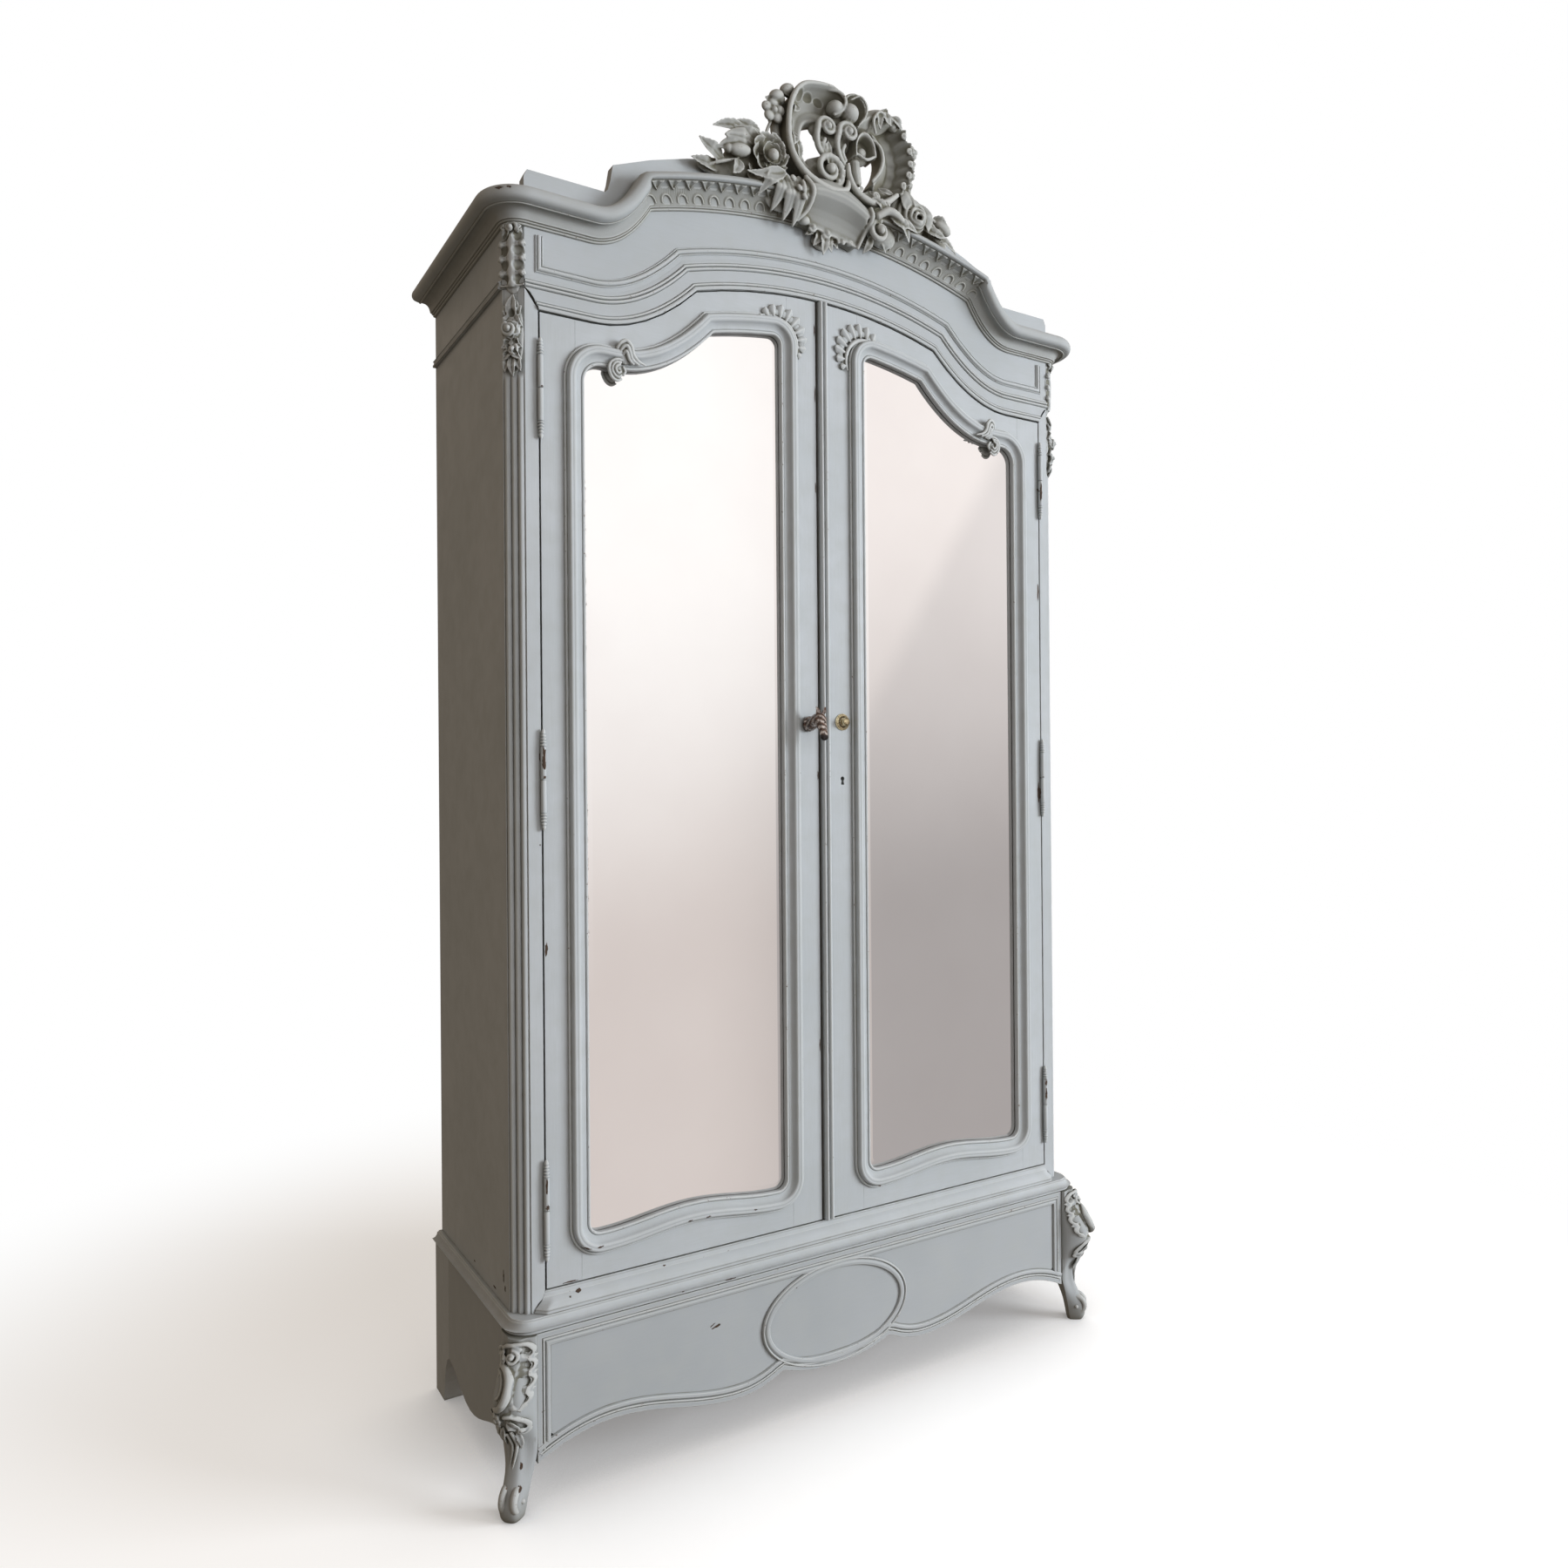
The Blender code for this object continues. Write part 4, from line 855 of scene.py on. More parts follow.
            cavity = cavity - 1.7 * bowl**0.7 + 0.8 * lip
        origin, along, outward = (np.array(v, float) for v in self.frame_at)
        flat = origin + (points[:, :1] * along + points[:, 2:] * outward) / 1000
        world = placed(self.side * flat[:, 0], flat[:, 1], points[:, 1] / 1000)
        handed = along[0] * outward[1] - along[1] * outward[0]
        if (handed < 0) == (self.side < 0):
            faces = [f[::-1] for f in faces]
        return world, faces, np.clip(cavity, -1.2, 1.2)

    def piece(self, name, material, voxel, body="carcass", slot="painted_wood", replaces=()):
        return Shape().add(*self.fuse(voxel)).piece(name, material, body, slot, replaces, CARVED_CREASE)


# ---- crest --------------------------------------------------------------------------------------
PRESSED = 2440


def pressed(height):
    return height if height < PRESSED else PRESSED + 0.89 * (height - PRESSED)


def crest_left():
    """Spray of leaves, buds, a small flower and a full rose."""
    c = Carving()
    c.ball((-170, 2372, 12), (62, 34, 12), 8)
    c.ball((-235, 2350, 10), (48, 16, 9), 6)
    c.ball((-160, 2412, 12), (36, 18, 10), 20)
    c.ball((-128, 2400, 12), (30, 26, 12))
    c.ball((-112, 2500, 14), (20, 44, 10), -8)
    c.tube([(-108, 2420, 12), (-116, 2460, 14), (-118, 2500, 14)], (9, 9, 8))
    c.leaf((-238, 2346, 14), (-298, 2350, 20), 24, bend=3, lift=7)
    c.leaf((-226, 2362, 16), (-284, 2388, 26), 30, bend=6, lift=9, cup=0.3)
    c.leaf((-176, 2424, 16), (-256, 2416, 26), 24, bend=-6, lift=8, cup=0.35)
    c.leaf((-150, 2424, 20), (-208, 2440, 24), 26, bend=-4)
    c.leaf((-156, 2400, 26), (-236, 2400, 34), 42, bend=-4, lift=(0, 10, 2), cup=-0.25, vein=1.8)
    c.ball((-204, 2380, 34), (24, 12, 12), 8)
    c.ball((-226, 2378, 32), (10, 8, 8), 8)
    c.tube([(-262, 2344, 20), (-240, 2352, 28), (-212, 2362, 30)], (3, 3.5, 3))
    c.leaf((-205, 2366, 30), (-222, 2330, 40), 24, bend=4, lift=5)
    c.leaf((-180, 2352, 24), (-150, 2322, 40), 30, bend=-3)
    c.tube([(-150, 2410, 30), (-140, 2440, 26), (-132, 2462, 26)], (4.5, 3.6, 3.2))
    c.tube([(-152, 2408, 30), (-158, 2430, 26), (-172, 2436, 24)], (4, 3, 3))
    # small flower
    for k in range(5):
        c.ball(polar(-131, 2480, 90 + 72 * k, 15, 34), (11, 11, 6.5))
    c.ball((-131, 2480, 38), 6.5)
    c.leaf((-120, 2494, 24), (-148, 2506, 34), 22, lift=4)
    # two buds in their cups
    for x, z, p, turn in ((-124, 2514, 34, 25), (-99, 2537, 32, 30)):
        c.ball((x, z, p), (16, 12, 12), turn)
        c.ball((x + 9, z - 3, p - 3), (12, 10, 10), turn)
        c.leaf((x + 14, z - 14, p - 6), (x - 8, z - 14, p + 4), 12, bend=-4, lift=3, thick=2.6)
    # rose: ruffled petals round a ball, open towards the lower left
    c.ball((-196, 2392, 18), (34, 24, 14), 14)
    c.leaf((-176, 2392, 30), (-248, 2376, 30), 34, bend=-5, lift=9, cup=-0.2, vein=1.8)
    c.leaf((-150, 2412, 26), (-212, 2428, 28), 34, bend=5, lift=8, cup=0.2, vein=1.8)
    x, z, p = -141, 2386, 30
    for k in range(9):
        tip = polar(x, z, 20 + 40 * k, 40 if 0 < k < 6 else 34, p + 10)
        start = polar(x, z, 20 + 40 * k, 6, p - 4)
        c.leaf(start, tip, 34, bend=3, lift=(0, -2, 6), cup=0.35, thick=3.4, lobes=1.5, blunt=1.8, vein=0.3)
    for k in range(6):
        tip = polar(x, z, 60 * k, 22, p + 16)
        c.leaf((x, z, p), tip, 24, lift=(0, -1, 5), cup=0.4, thick=3, blunt=1.9, vein=0.2)
    c.ball((x + 2, z - 2, p + 15), 11.5)
    c.leaf((x - 28, z - 24, p - 8), (x - 40, z - 44, p + 6), 26, lift=(0, 5, 2), lobes=1)
    return c


def crest_middle():
    """The left C-scroll frame with its pierced eye, paired volutes, and a hood over two balls."""
    c = Carving()
    outer = [(24, 2536), (16, 2558), (-6, 2567), (-44, 2562), (-72, 2550), (-92, 2522), (-103, 2480),
             (-104, 2430), (-94, 2398), (-74, 2372), (-44, 2356), (-10, 2350)]
    inner = [(6, 2492), (-12, 2494), (-28, 2492), (-42, 2486), (-52, 2480), (-58, 2470), (-61, 2454),
             (-61, 2436), (-58, 2420), (-50, 2408), (-40, 2401), (-20, 2395)]
    c.ball((-22, 2486, 14), (18, 15, 9))
    profile = ((0.0, 16), (0.08, 24), (0.35, 20), (0.72, 27), (0.86, 40), (0.93, 50), (1.0, 48))
    c.ribbon(inner, outer, profile, back=0.8, count=70)
    rim = [(p[0], p[1], 47) for p in outer]
    c.tube(rim[1:], (4, 5, 5.5, 5.5, 6, 6.5, 6.5), count=60)
    # ragged ruffles on the shell between the rim and the eye
    for x, z, r, turn in ((-74, 2532, 12, 30), (-50, 2538, 12, 5), (-24, 2538, 12, -5), (-88, 2476, 11, 80)):
        c.gouge(x, pressed(z), (r, 0.6 * r), 3.5, turn)
    c.leaf((-76, 2520, 26), (-90, 2488, 40), 16, bend=4, lift=(0, 6, 3), thick=3)
    c.leaf((-82, 2458, 26), (-90, 2420, 40), 15, bend=4, lift=(0, 6, 3), thick=3)
    c.leaf((-64, 2406, 24), (-88, 2440, 38), 14, bend=-4, lift=(0, 5, 2), thick=3)
    # balls and the hood
    c.ball((6, 2527, 40), 17.5)
    c.ball((37, 2526, 42), 20.5)
    c.ball((22, 2520, 20), (34, 26, 14))
    c.tube([(-24, 2562, 40), (8, 2560, 50), (22, 2544, 54), (16, 2522, 52), (0, 2510, 46)],
           (3.5, 4, 4, 3.5, 2.5))
    hood_out = [(24, 2552), (36, 2570), (56, 2578), (74, 2568), (82, 2544), (76, 2520), (60, 2502)]
    hood_in = [(34, 2544), (42, 2556), (54, 2560), (62, 2552), (65, 2538), (60, 2522), (50, 2508)]
    c.ribbon(hood_in, hood_out, ((0.0, 22), (0.3, 34), (0.75, 47), (1.0, 40)), back=3.0, count=36)
    c.tube([(40, 2556, 46), (58, 2566, 52), (72, 2550, 54), (72, 2528, 52), (60, 2508, 46)],
           (2, 2.6, 2.8, 2.4, 2))
    c.ball((52, 2538, 18), (20, 22, 12))
    # paired volutes with their stems
    c.ball((14, 2478, 14), (46, 34, 12))
    c.spiral((-11, 2484), 20, 195, -1.35, 6.6, 36, rise=7)
    c.tube([(-31, 2480, 36), (-32, 2460, 33), (-26, 2440, 30), (-10, 2426, 27), (4, 2418, 26)],
           (6.5, 6.5, 6, 5, 4))
    c.tube([(-12, 2462, 32), (-16, 2446, 29), (-6, 2430, 27)], (4, 4.5, 4))
    c.spiral((35, 2484), 21, 190, -1.35, 6.8, 42, rise=7)
    c.tube([(14, 2480, 42), (12, 2458, 38), (20, 2438, 33), (34, 2424, 29)], (6.8, 6.5, 5.5, 4.5))
    c.tube([(32, 2460, 36), (28, 2444, 33), (38, 2430, 30)], (4, 4.5, 4))
    c.leaf((0, 2428, 24), (-30, 2450, 32), 16, bend=-4, lift=4)
    c.leaf((6, 2428, 24), (-4, 2462, 32), 14, bend=3, lift=4)
    c.leaf((30, 2424, 24), (22, 2454, 34), 13, bend=3, lift=4)
    # lower scroll
    c.ball((-6, 2392, 14), (52, 38, 13))
    c.ball((10, 2424, 14), (44, 14, 12), 10)
    c.spiral((-8, 2396), 34, 265, 1.45, 9.0, 36, rise=9)
    for k in range(5):
        turn = -40 + 32 * k
        start, tip = polar(-4, 2396, turn, 12, 36), polar(-6, 2396, turn, 36, 40, 34)
        c.leaf(start, tip, 17, bend=3, lift=(0, 7, 3))
    c.tube([(-104, 2430, 46), (-95, 2398, 48), (-74, 2372, 50), (-42, 2356, 52), (-6, 2351, 52),
            (26, 2362, 48), (36, 2384, 44)], (6, 6.5, 7, 7, 7, 6.5, 5))
    return c


def crest_right():
    """The right C-scroll with its shell, bell hood and pierced eye, small flowers, rose and leaves."""
    c = Carving()
    outer = [(120, 2566), (148, 2560), (172, 2536), (188, 2508), (196, 2476), (194, 2446), (184, 2420),
             (166, 2398), (146, 2386)]
    inner = [(96, 2500), (106, 2492), (114, 2482), (120, 2466), (121, 2450), (118, 2434), (112, 2420),
             (104, 2408), (98, 2398)]
    profile = ((0.0, 30), (0.06, 38), (0.14, 30), (0.4, 12), (0.7, 14), (0.92, 36), (1.0, 44))
    c.ribbon(inner, outer, profile, back=0.8, count=90, ruffle=0.07, waves=8)
    c.tube([(98, 2494, 36), (114, 2480, 40), (121, 2454, 41), (114, 2426, 40), (98, 2404, 36)],
           (3, 4, 4.4, 4, 3))
    # top volute: a fat curled leaf
    c.ribbon([(62, 2500), (84, 2496), (104, 2508), (124, 2520), (140, 2532)],
             [(66, 2524), (80, 2548), (106, 2566), (134, 2568), (158, 2552)],
             ((0.0, 24), (0.3, 40), (0.65, 48), (0.9, 42), (1.0, 30)), back=2, count=34)
    c.tube([(100, 2502, 46), (92, 2526, 50), (104, 2548, 52), (122, 2550, 50)], (2.6, 3.6, 3.2, 2.2))
    c.leaf((116, 2556, 44), (110, 2512, 50), 17, bend=-6, lift=5, cup=0.5)
    c.leaf((128, 2560, 44), (138, 2528, 48), 20, bend=-5, lift=(0, 5, 2), lobes=1)
    c.leaf((144, 2556, 42), (164, 2528, 46), 18, bend=4, lift=(0, 4, 2), lobes=1)
    c.ball((150, 2540, 34), (12, 9, 9), -30)
    # small curls along the shell's edge
    for x, z, r in ((174, 2520, 8), (188, 2490, 8), (190, 2462, 8), (186, 2436, 8), (172, 2410, 8)):
        c.spiral((x, z), r, 60, 0.9, 3.2, 42, rise=3)
    # bell hood over the eye
    c.ribbon([(62, 2444), (62, 2466), (70, 2482), (80, 2484), (90, 2474), (94, 2452)],
             [(52, 2440), (54, 2476), (68, 2498), (84, 2500), (100, 2482), (106, 2450)],
             ((0.0, 22), (0.4, 42), (0.8, 46), (1.0, 34)), back=3, count=34)
    c.ball((78, 2466, 14), (26, 28, 11))
    c.ball((80, 2462, 24), (11, 12, 8))
    c.tube([(60, 2446, 40), (78, 2438, 44), (98, 2450, 42)], (3.0, 3.4, 3.0))
    # lower rim and the light hollow inside it
    c.ribbon([(60, 2424), (66, 2404), (76, 2394), (92, 2390), (106, 2398), (124, 2412)],
             [(38, 2410), (42, 2380), (60, 2362), (90, 2356), (122, 2366), (152, 2390)],
             ((0.0, 16), (0.3, 15), (0.75, 22), (0.9, 38), (1.0, 36)), back=1, count=50)
    c.tube([(36, 2416, 40), (36, 2394, 44), (46, 2370, 48), (66, 2357, 50), (94, 2353, 50), (124, 2364, 48),
            (154, 2388, 44)], (5.5, 6.5, 7, 7, 7, 6.5, 5))
    c.tube([(62, 2436, 26), (64, 2414, 26), (70, 2396, 24)], (10, 11, 9))
    c.leaf((74, 2394, 28), (62, 2372, 44), 12, bend=2, lift=4)
    c.leaf((98, 2390, 26), (112, 2370, 44), 16, bend=-3, lift=5, lobes=1)
    c.leaf((118, 2400, 28), (146, 2388, 44), 14, bend=-3, lift=4)
    c.spiral((104, 2374), 9, 0, 1.0, 3.4, 38, rise=3)
    # flowers behind the shell
    for x, z, r in ((206, 2504, 14), (202, 2476, 13), (204, 2450, 9), (200, 2428, 7)):
        for k in range(5):
            c.ball(polar(x, z, 72 * k + 20, 0.62 * r, 26), (0.48 * r, 0.48 * r, 5.5))
        c.ball((x, z, 29), 0.34 * r)
    c.tube([(196, 2400, 20), (202, 2440, 20), (204, 2480, 20), (204, 2512, 18)], (8, 7, 7, 6))
    c.leaf((200, 2408, 20), (184, 2446, 28), 14, bend=3, lift=4)
    # rose of nested rings, turned to the front and down
    x, z = 199, 2366
    rings = ((40, 20, 7.0), (32, 31, 5.6), (24, 40, 4.8), (16.5, 46, 4.2), (10, 50, 3.4))
    for k, (r, p, t) in enumerate(rings):
        ring = []
        for turn in np.arange(0, 361, 24) + 17 * k:
            wavy = p + 2.2 * math.sin(3 * math.radians(turn))
            ring.append(polar(x + 1.6 * k, z - 3.0 * k, turn, r, wavy, 0.92 * r))
        c.tube(ring, (t, t), count=40)
    c.ball((x + 2, z - 4, 16), (41, 38, 25))
    c.leaf((214, 2400, 26), (172, 2366, 44), 42, bend=-8, lift=(0, 10, 2), cup=-0.3, vein=0.4, blunt=1.0)
    c.leaf((222, 2398, 24), (238, 2340, 38), 34, bend=7, lift=9, cup=-0.2, vein=0.4)
    c.leaf((206, 2404, 24), (196, 2378, 48), 26, bend=3, lift=8, cup=-0.2, vein=0.4)
    # leaves and bud at the end
    c.ball((250, 2346, 9), (62, 17, 9), -10)
    c.ball((150, 2350, 10), (52, 22, 10))
    c.tube([(232, 2378, 22), (252, 2374, 26), (270, 2366, 28)], (4.5, 4.5, 4))
    c.ball((284, 2360, 28), (22, 12, 12), -22)
    c.leaf((262, 2378, 26), (290, 2366, 38), 13, bend=4, lift=3)
    for x, z, width, bend in ((322, 2316, 16, 4), (300, 2328, 17, 4), (282, 2338, 17, 4), (262, 2344, 16, 3)):
        c.leaf((x - 66, z + 26, 24), (x, z, 28), width, bend=bend, lift=7)
    c.leaf((232, 2352, 28), (286, 2336, 40), 20, bend=-4, vein=2.0)
    c.leaf((168, 2352, 22), (144, 2334, 44), 26, bend=-3)
    return c


def build_crest(paint):
    """Three carvings, drawn taller above PRESSED than they are."""
    crest_left().press().piece("crest_rose_spray", paint, 1.7)
    crest_middle().press().piece("crest_scroll_frame", paint, 1.7, replaces=["crest"])
    crest_right().press().piece("crest_shell_frame", paint, 1.7)


# ---- crown --------------------------------------------------------------------------------------
# (outwards, upwards) from the back of the cornice's top edge: over the sides, then over the arch
CORNICE_SECTION = chain(
    (0.0, 0.0), (0.029, 0.0), (0.0464, -0.015, 0.0052), (0.0385, -0.0258, 0.0026), (0.032, -0.0272),
    (0.03, -0.0286, 0.0008), (0.028, -0.0268, 0.0008), (0.011, -0.04, -0.005), (0.01, -0.0432),
    (0.0072, -0.044), (0.0066, -0.0462, 0.0006), (0.004, -0.047), (0.0034, -0.05, 0.0007),
    (0.0, -0.0508),
)
ARCH_SECTION = chain(
    (0.0, 0.0), (0.029, 0.0), (0.047, -0.006, 0.0045), (0.0445, -0.0122, 0.002), (0.0405, -0.013),
    (0.008, -0.044, -0.0062), (0.0066, -0.0462, 0.0006), (0.004, -0.047), (0.0034, -0.05, 0.0007),
    (0.0, -0.0508),
)


def cornice_rings(section, start=POST_FLAT):
    """Back along both sides, round the corners, and over the hat-shaped front."""
    top = CORNICE_TOP.side_z
    front = []
    share = np.linspace(0, 1, len(section))
    arched_from = 23
    arch_share = np.linspace(0, 1, len(ARCH_SECTION))
    arch = np.stack([np.interp(share, arch_share, ARCH_SECTION[:, k]) for k in (0, 1)], 1)
    for (out, rise), (arch_out, arch_rise) in zip(section, arch):
        half, over = CORNICE_TOP.row(rise, start), CORNICE_TOP.row(arch_rise, start)
        half = np.concatenate((half[:arched_from], over[arched_from:]))
        row = whole_row(half)
        reach = np.where(np.arange(len(half)) < arched_from, out, arch_out)
        reach = np.concatenate((reach, reach[::-1][1:]))
        front.append(placed(row[:, 0], -reach - GAP, row[:, 1]))
    front = np.stack(front, 1)

    def side_ring(x, depth, nx, nd):
        reach = section[:, 0] + GAP
        return placed(x + nx * reach, depth + nd * reach, top + section[:, 1])

    def corner(side):
        rings = []
        for i in range(1, 14):
            turn = math.radians(90 / 14 * (i if side < 0 else 14 - i))
            nx, nd = side * math.cos(turn), -math.sin(turn)
            rings.append(side_ring(side * POST_FLAT + CHAMFER * nx, CHAMFER + CHAMFER * nd, nx, nd))
        return rings

    rings = [side_ring(-HALF_WIDTH, d, -1, 0) for d in (BACK, 0.3, 0.15, CHAMFER)] + corner(-1)
    rings += list(front) + corner(1)
    rings += [side_ring(HALF_WIDTH, d, 1, 0) for d in (CHAMFER, 0.15, 0.3, BACK)]
    return np.array(rings)


def build_cornice(paint):
    shape = Shape()
    rings = cornice_rings(CORNICE_SECTION)
    shape.run(rings, CORNICE_SECTION)
    for ring, flip in ((rings[0], False), (rings[-1], True)):
        face = list(range(len(ring)))
        shape.add(ring, [face[::-1] if flip else face])
    shape.piece("crown_moulding", paint, replaces=["cornice"])


EAR_Z, EAR_U = (2.014, 2.031, 2.042, CROWN_SEAM), (0.582, 0.589, 0.597, POST_FLAT)


def ear_u(z):
    """How far out the frieze reaches at height z, above the coped head of the post."""
    return float(np.interp(z, EAR_Z, EAR_U))


def whole_row(half):
    """A (u, z) row over both halves from its right half, which runs inwards."""
    return np.concatenate((half * (-1, 1), half[::-1][1:]))


def build_frieze(paint):
    """Run mouldings over the doors: a lip, a triple reed, and the square-ended outline of a panel."""
    section = chain(
        (0.0016, 0.0), (0.0016, 0.0034), (0.008, 0.0034, 0.0014), (0.009, 0.0002), (0.01, 0.003),
        (0.0132, 0.003, 0.0009), (0.0144, 0.0002), (0.0158, 0.0014), (0.0352, 0.0014), (0.0364, 0.0001),
        (0.0376, 0.0032), (0.0416, 0.0032, 0.0012), (0.0428, 0.0001), (0.044, 0.0034),
        (0.0478, 0.0034, 0.0012), (0.049, 0.0001), (0.0502, 0.0012), (0.056, 0.0003),
    )
    band = chain(
        (0.064, 0.0), (0.065, 0.0022), (0.0666, 0.0022, 0.0006), (0.0674, 0.0007), (0.0688, 0.003),
        (0.0744, 0.003, 0.0012), (0.0756, 0.0007), (0.0764, 0.002), (0.078, 0.002, 0.0006), (0.079, 0.0),
    )
    def run(half_row, section):
        rows = []
        for w, proud in section:
            row = whole_row(half_row(w))
            rows.append(placed(row[:, 0], -proud, row[:, 1]))
        shape.run(np.stack(rows, 1), section)

    def panel_row(w):
        corner = 0.588 - (w - 0.064)
        upright = [(corner, z) for z in np.linspace(2.14, DOOR_HEAD.side_z + w, 9)[:-1]]
        return np.concatenate((upright, DOOR_HEAD.row(w, corner)))

    shape = Shape()
    run(lambda w: DOOR_HEAD.row(w, ear_u(DOOR_HEAD.side_z + w)), section)
    run(panel_row, band)
    shape.piece("frieze_mouldings", paint)


def build_side_strips(paint):
    """The string moulding that carries the frieze's foot back along both flanks."""
    low = CROWN_SEAM + 0.0012
    section = chain(
        (0.0, low), (0.0056, low), (0.006, low + 0.004), (0.004, low + 0.005), (0.004, low + 0.0078),
        (0.0058, low + 0.0112, 0.0012), (0.003, low + 0.014), (0.0, low + 0.015),
    )
    shape = Shape()
    for side in (-1, 1):
        rings = []
        for depth in (CHAMFER + 0.004, 0.15, 0.3, BACK):
            x = side * (HALF_WIDTH + GAP + section[:, 0])
            rings.append(placed(x, depth, section[:, 1]))
        shape.run(rings, section, (side, 0, 0))
        shape.close_ends(rings)
    shape.piece("flank_strings", paint)


# ---- posts, sill, base --------------------------------------------------------------------------
def post_plan():
    """(u, depth) across the post: flat face, then three reeds on the chamfer, with grooves between."""
    start = np.array((POST_FLAT, 0.0))
    along = np.array((1.0, 1.0)) / math.sqrt(2)
    outward = np.array((1.0, -1.0)) / math.sqrt(2)
    span = CHAMFER * math.sqrt(2)
    section = chain(
        (0.0, 0.0), (0.0012, 0.0), (0.002, -0.0018), (0.0028, 0.0), (0.0136, 0.0, 0.0036),
        (0.0144, -0.002), (0.0152, 0.0), (0.026, 0.0, 0.0036), (0.0268, -0.002),
        (0.0276, 0.0), (0.0384, 0.0, 0.0036), (0.0392, -0.0016), (0.04, 0.0), (span, 0.0),
    )
    chamfer = start + section[:, :1] * along + section[:, 1:] * outward
    value = section_cavity(section)
    front = np.array([(POST_INNER, 0.034), (POST_INNER, 0.001), (POST_INNER + 0.0008, 0.0)])
    back = np.array([(HALF_WIDTH, 0.034)])
    plan = np.concatenate((front, chamfer, back))
    return plan, np.concatenate((np.zeros(3), value, [0.0]))


def build_posts(paint):
    plan, value = post_plan()
    plain = np.where(plan[:, 0] > POST_FLAT, np.minimum(plan[:, 0] - POST_FLAT, CHAMFER), plan[:, 1])
    plain[-1] = plan[-1, 1]
    for side, word in SIDES:
        rings = []
        for z in (RING_TOP + GAP, 0.6, 1.2, 1.8, 1.893, 1.899, 1.903, 1.99, 2.0):
            depth = plan[:, 1] + (plain - plan[:, 1]) * np.interp(z, (1.893, 1.903), (0, 1))
            rings.append(placed(side * plan[:, 0], depth, z))
        top = np.interp(plan[:, 0], (POST_INNER, *EAR_U[1:]), EAR_Z) - 0.0008
        rings.append(placed(side * plan[:, 0], plain, top))
        fade = np.array([1.0] * 5 + [0.3] + [0.0] * 4)[:, None]
        shape = Shape().grid(rings, value * fade, False, (0, -1, 0))
        shape.piece(f"{word}_reeded_post", paint, replaces=[f"corner_post_{word}"])


def build_sill(paint):
    """The ogee strip under the doors, its ends coped over the posts' faces."""
    low = RING_TOP + GAP
    section = chain(
        (0.034, SILL_TOP), (-0.0002, SILL_TOP), (-0.0016, 0.3465, 0.0003), (-0.003, 0.338),
        (-0.015, 0.3225, -0.0016), (-0.0176, 0.3205), (-0.018, low), (0.034, low),
    )
    ends = [(low, 0.602), (0.322, 0.6), (0.331, 0.59), (0.341, 0.5845), (SILL_TOP, 0.5822)]
    reach = np.interp(section[:, 1], [e[0] for e in ends], [e[1] for e in ends])
    reach = np.where(section[:, 0] > 0.0, POST_INNER - GAP, reach)
    rings = []
    end = np.linspace(0, 0.04, 8)
    for t in np.concatenate((end - 1, np.linspace(-0.92, 0.92, 31), 1 - end[::-1])):
        returned = np.interp((1 - abs(t)) * 0.6, (0.0, 0.016), (0.12, 1.0))
        depth = np.where(section[:, 0] < 0, section[:, 0] * returned, section[:, 0])
        rings.append(placed(t * reach, depth, section[:, 1]))
    shape = Shape().run(rings, section)
    shape.close_ends(rings)
    shape.piece("sill_moulding", paint, replaces=["door_sill"])


def build_base_moulding(paint):
    """The nosed frame on the base: a fillet, a full round nose, and a quirk under it."""
    # (inwards from the tip of the nosing, height)
    section = chain(
        (0.04, RING_TOP), (0.014, RING_TOP), (0.0125, 0.3125), (0.0105, 0.3118), (0.01, 0.3105),
        (0.0, 0.301, 0.0028), (0.006, 0.2935, 0.0022), (0.009, 0.2932), (0.0095, BASE_TOP + GAP),
        (0.04, BASE_TOP + GAP),
    )
    section[:, 0] *= -1
    path = [((-NOSE_HALF, d), (-1.0, 0.0)) for d in (BACK, 0.25, 0.1)]
    for side in (-1, 1):
        centre = (side * (NOSE_HALF - NOSE_CORNER), NOSE_DEPTH + NOSE_CORNER)
        for i in range(17):
            turn = math.radians(90 / 16 * (i if side < 0 else 16 - i))
            normal = (side * math.cos(turn), -math.sin(turn))
            path.append((tuple(c + NOSE_CORNER * n for c, n in zip(centre, normal)), normal))
        if side < 0:
            start = path[-1][0][0]
            path += [((start * (1 - 2 * i / 30), NOSE_DEPTH), (0.0, -1.0)) for i in range(1, 30)]
    path += [((NOSE_HALF, d), (1.0, 0.0)) for d in (0.1, 0.25, BACK)]
    rings = []
    for (x, d), (nx, nd) in path:
        rings.append(placed(x + section[:, 0] * nx, d + section[:, 0] * nd, section[:, 1]))
    shape = Shape().run(rings, section)
    shape.piece("base_nosing", paint, replaces=["base_moulding"])


def build_astragal(paint):
    low, high = -0.0125, 0.0075
    section = chain(
        (low, 0.0003), (low, 0.006), (low + 0.0006, 0.0068), (-0.004, 0.0068, 0.0036), (-0.003, 0.0052),
        (-0.002, 0.0068), (0.0068, 0.0068, 0.0036), (high, 0.0058), (high, 0.0003),
    )
    rings = []
    for t in (0.0, 0.25, 0.5, 0.75, 1.0):
        top = np.array([DOOR_HEAD.z(x) - 0.0015 for x in section[:, 0]])
        z = DOOR_BOTTOM + (top - DOOR_BOTTOM) * t
        rings.append(placed(section[:, 0], -section[:, 1], z))
    shape = Shape().run(rings, section)
    shape.close_ends(rings)
    shape.piece("meeting_bead", paint, "right_door", replaces=["astragal"])


